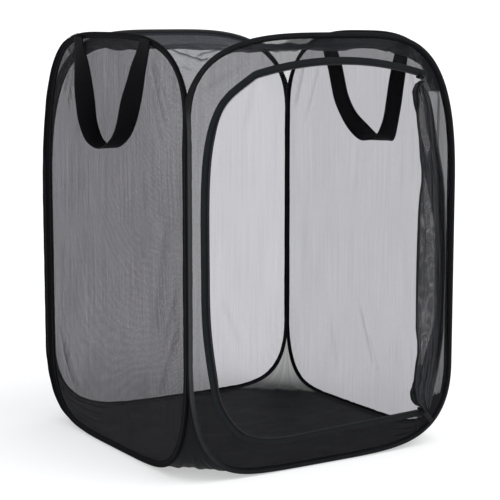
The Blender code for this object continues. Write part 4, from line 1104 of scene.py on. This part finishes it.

# ---------------------------------------------------------------------------------------------------------- sheets
def area_of(obj):
    bm = bmesh.new()
    bm.from_mesh(obj.data)
    total = sum(face.calc_area() for face in bm.faces)
    bm.free()
    return total


for wall, (obj, area) in SHEETS.items():
    verts = np.array([v.co for v in obj.data.vertices])
    across = verts[:, 0 if wall in ("front", "back") else 1]
    width, tall = float(np.ptp(across)), float(np.ptp(verts[:, 2]))
    print(wall, "net", round(width, 4), round(tall, 4), "cut", round(area, 5), "mesh", round(area_of(obj), 5), "share", round(area / width / tall, 3))
    if wall == "front":  # the surround is a band: laid out straight, it is as long as its middle line and as wide as at its widest corner
        width, tall = 0.085, 1.55


for obj, rests in ((roof, "front_binding"), (floor, "front_binding"), (door_net, "front_netting")):
    print(obj.name, "area", round(area_of(obj), 4))
min(area_of(roof), 0.1764)
min(area_of(floor), 0.16)
door_area = area_of(door_net)
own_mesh(roof)
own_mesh(floor)
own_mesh(base)

# ---------------------------------------------------------------------------------------------------------- studio
stage_mat = Nodes("studio_floor_white")
white = stage_mat.principled(rgb(0.62, 0.62, 0.625), 0.9, specular=0.0)
glow = stage_mat.new("ShaderNodeEmission")
glow.inputs["Strength"].default_value = 0.46
both = stage_mat.new("ShaderNodeAddShader")
stage_mat.put(both.inputs[0], white)
stage_mat.put(both.inputs[1], glow.outputs[0])
ground_material = stage_mat.done(both.outputs[0])
bpy.ops.mesh.primitive_plane_add(size=60.0, location=(0, 0, -0.0006))
ground = bpy.context.active_object
ground.name = "studio_ground"
ground.data.materials.append(ground_material)

world = bpy.data.worlds.new("studio")
scene.world = world
world.use_nodes = True
tree = world.node_tree
tree.nodes.clear()
out = tree.nodes.new("ShaderNodeOutputWorld")
bright = tree.nodes.new("ShaderNodeBackground")
bright.inputs["Color"].default_value = (1.0, 1.0, 1.0, 1.0)
bright.inputs["Strength"].default_value = 1.195
soft = tree.nodes.new("ShaderNodeBackground")
soft.inputs["Color"].default_value = (0.97, 0.985, 1.0, 1.0)
soft.inputs["Strength"].default_value = 0.84
path = tree.nodes.new("ShaderNodeLightPath")
pick = tree.nodes.new("ShaderNodeMixShader")
tree.links.new(path.outputs["Is Camera Ray"], pick.inputs[0])
tree.links.new(soft.outputs[0], pick.inputs[1])
tree.links.new(bright.outputs[0], pick.inputs[2])
tree.links.new(pick.outputs[0], out.inputs["Surface"])


def sun(name, direction, strength, angle, colour=(1, 1, 1)):
    data = bpy.data.lights.new(name, "SUN")
    data.energy = strength
    data.angle = math.radians(angle)
    data.color = colour
    lamp = bpy.data.objects.new(name, data)
    scene.collection.objects.link(lamp)
    lamp.rotation_euler = Vector(direction).to_track_quat("-Z", "Y").to_euler()
    return lamp


sun("key", (-0.40, 0.60, -1.0), 1.35, 45)

scene.view_settings.view_transform = "Standard"
scene.view_settings.look = "None"
scene.cycles.transparent_max_bounces = 48
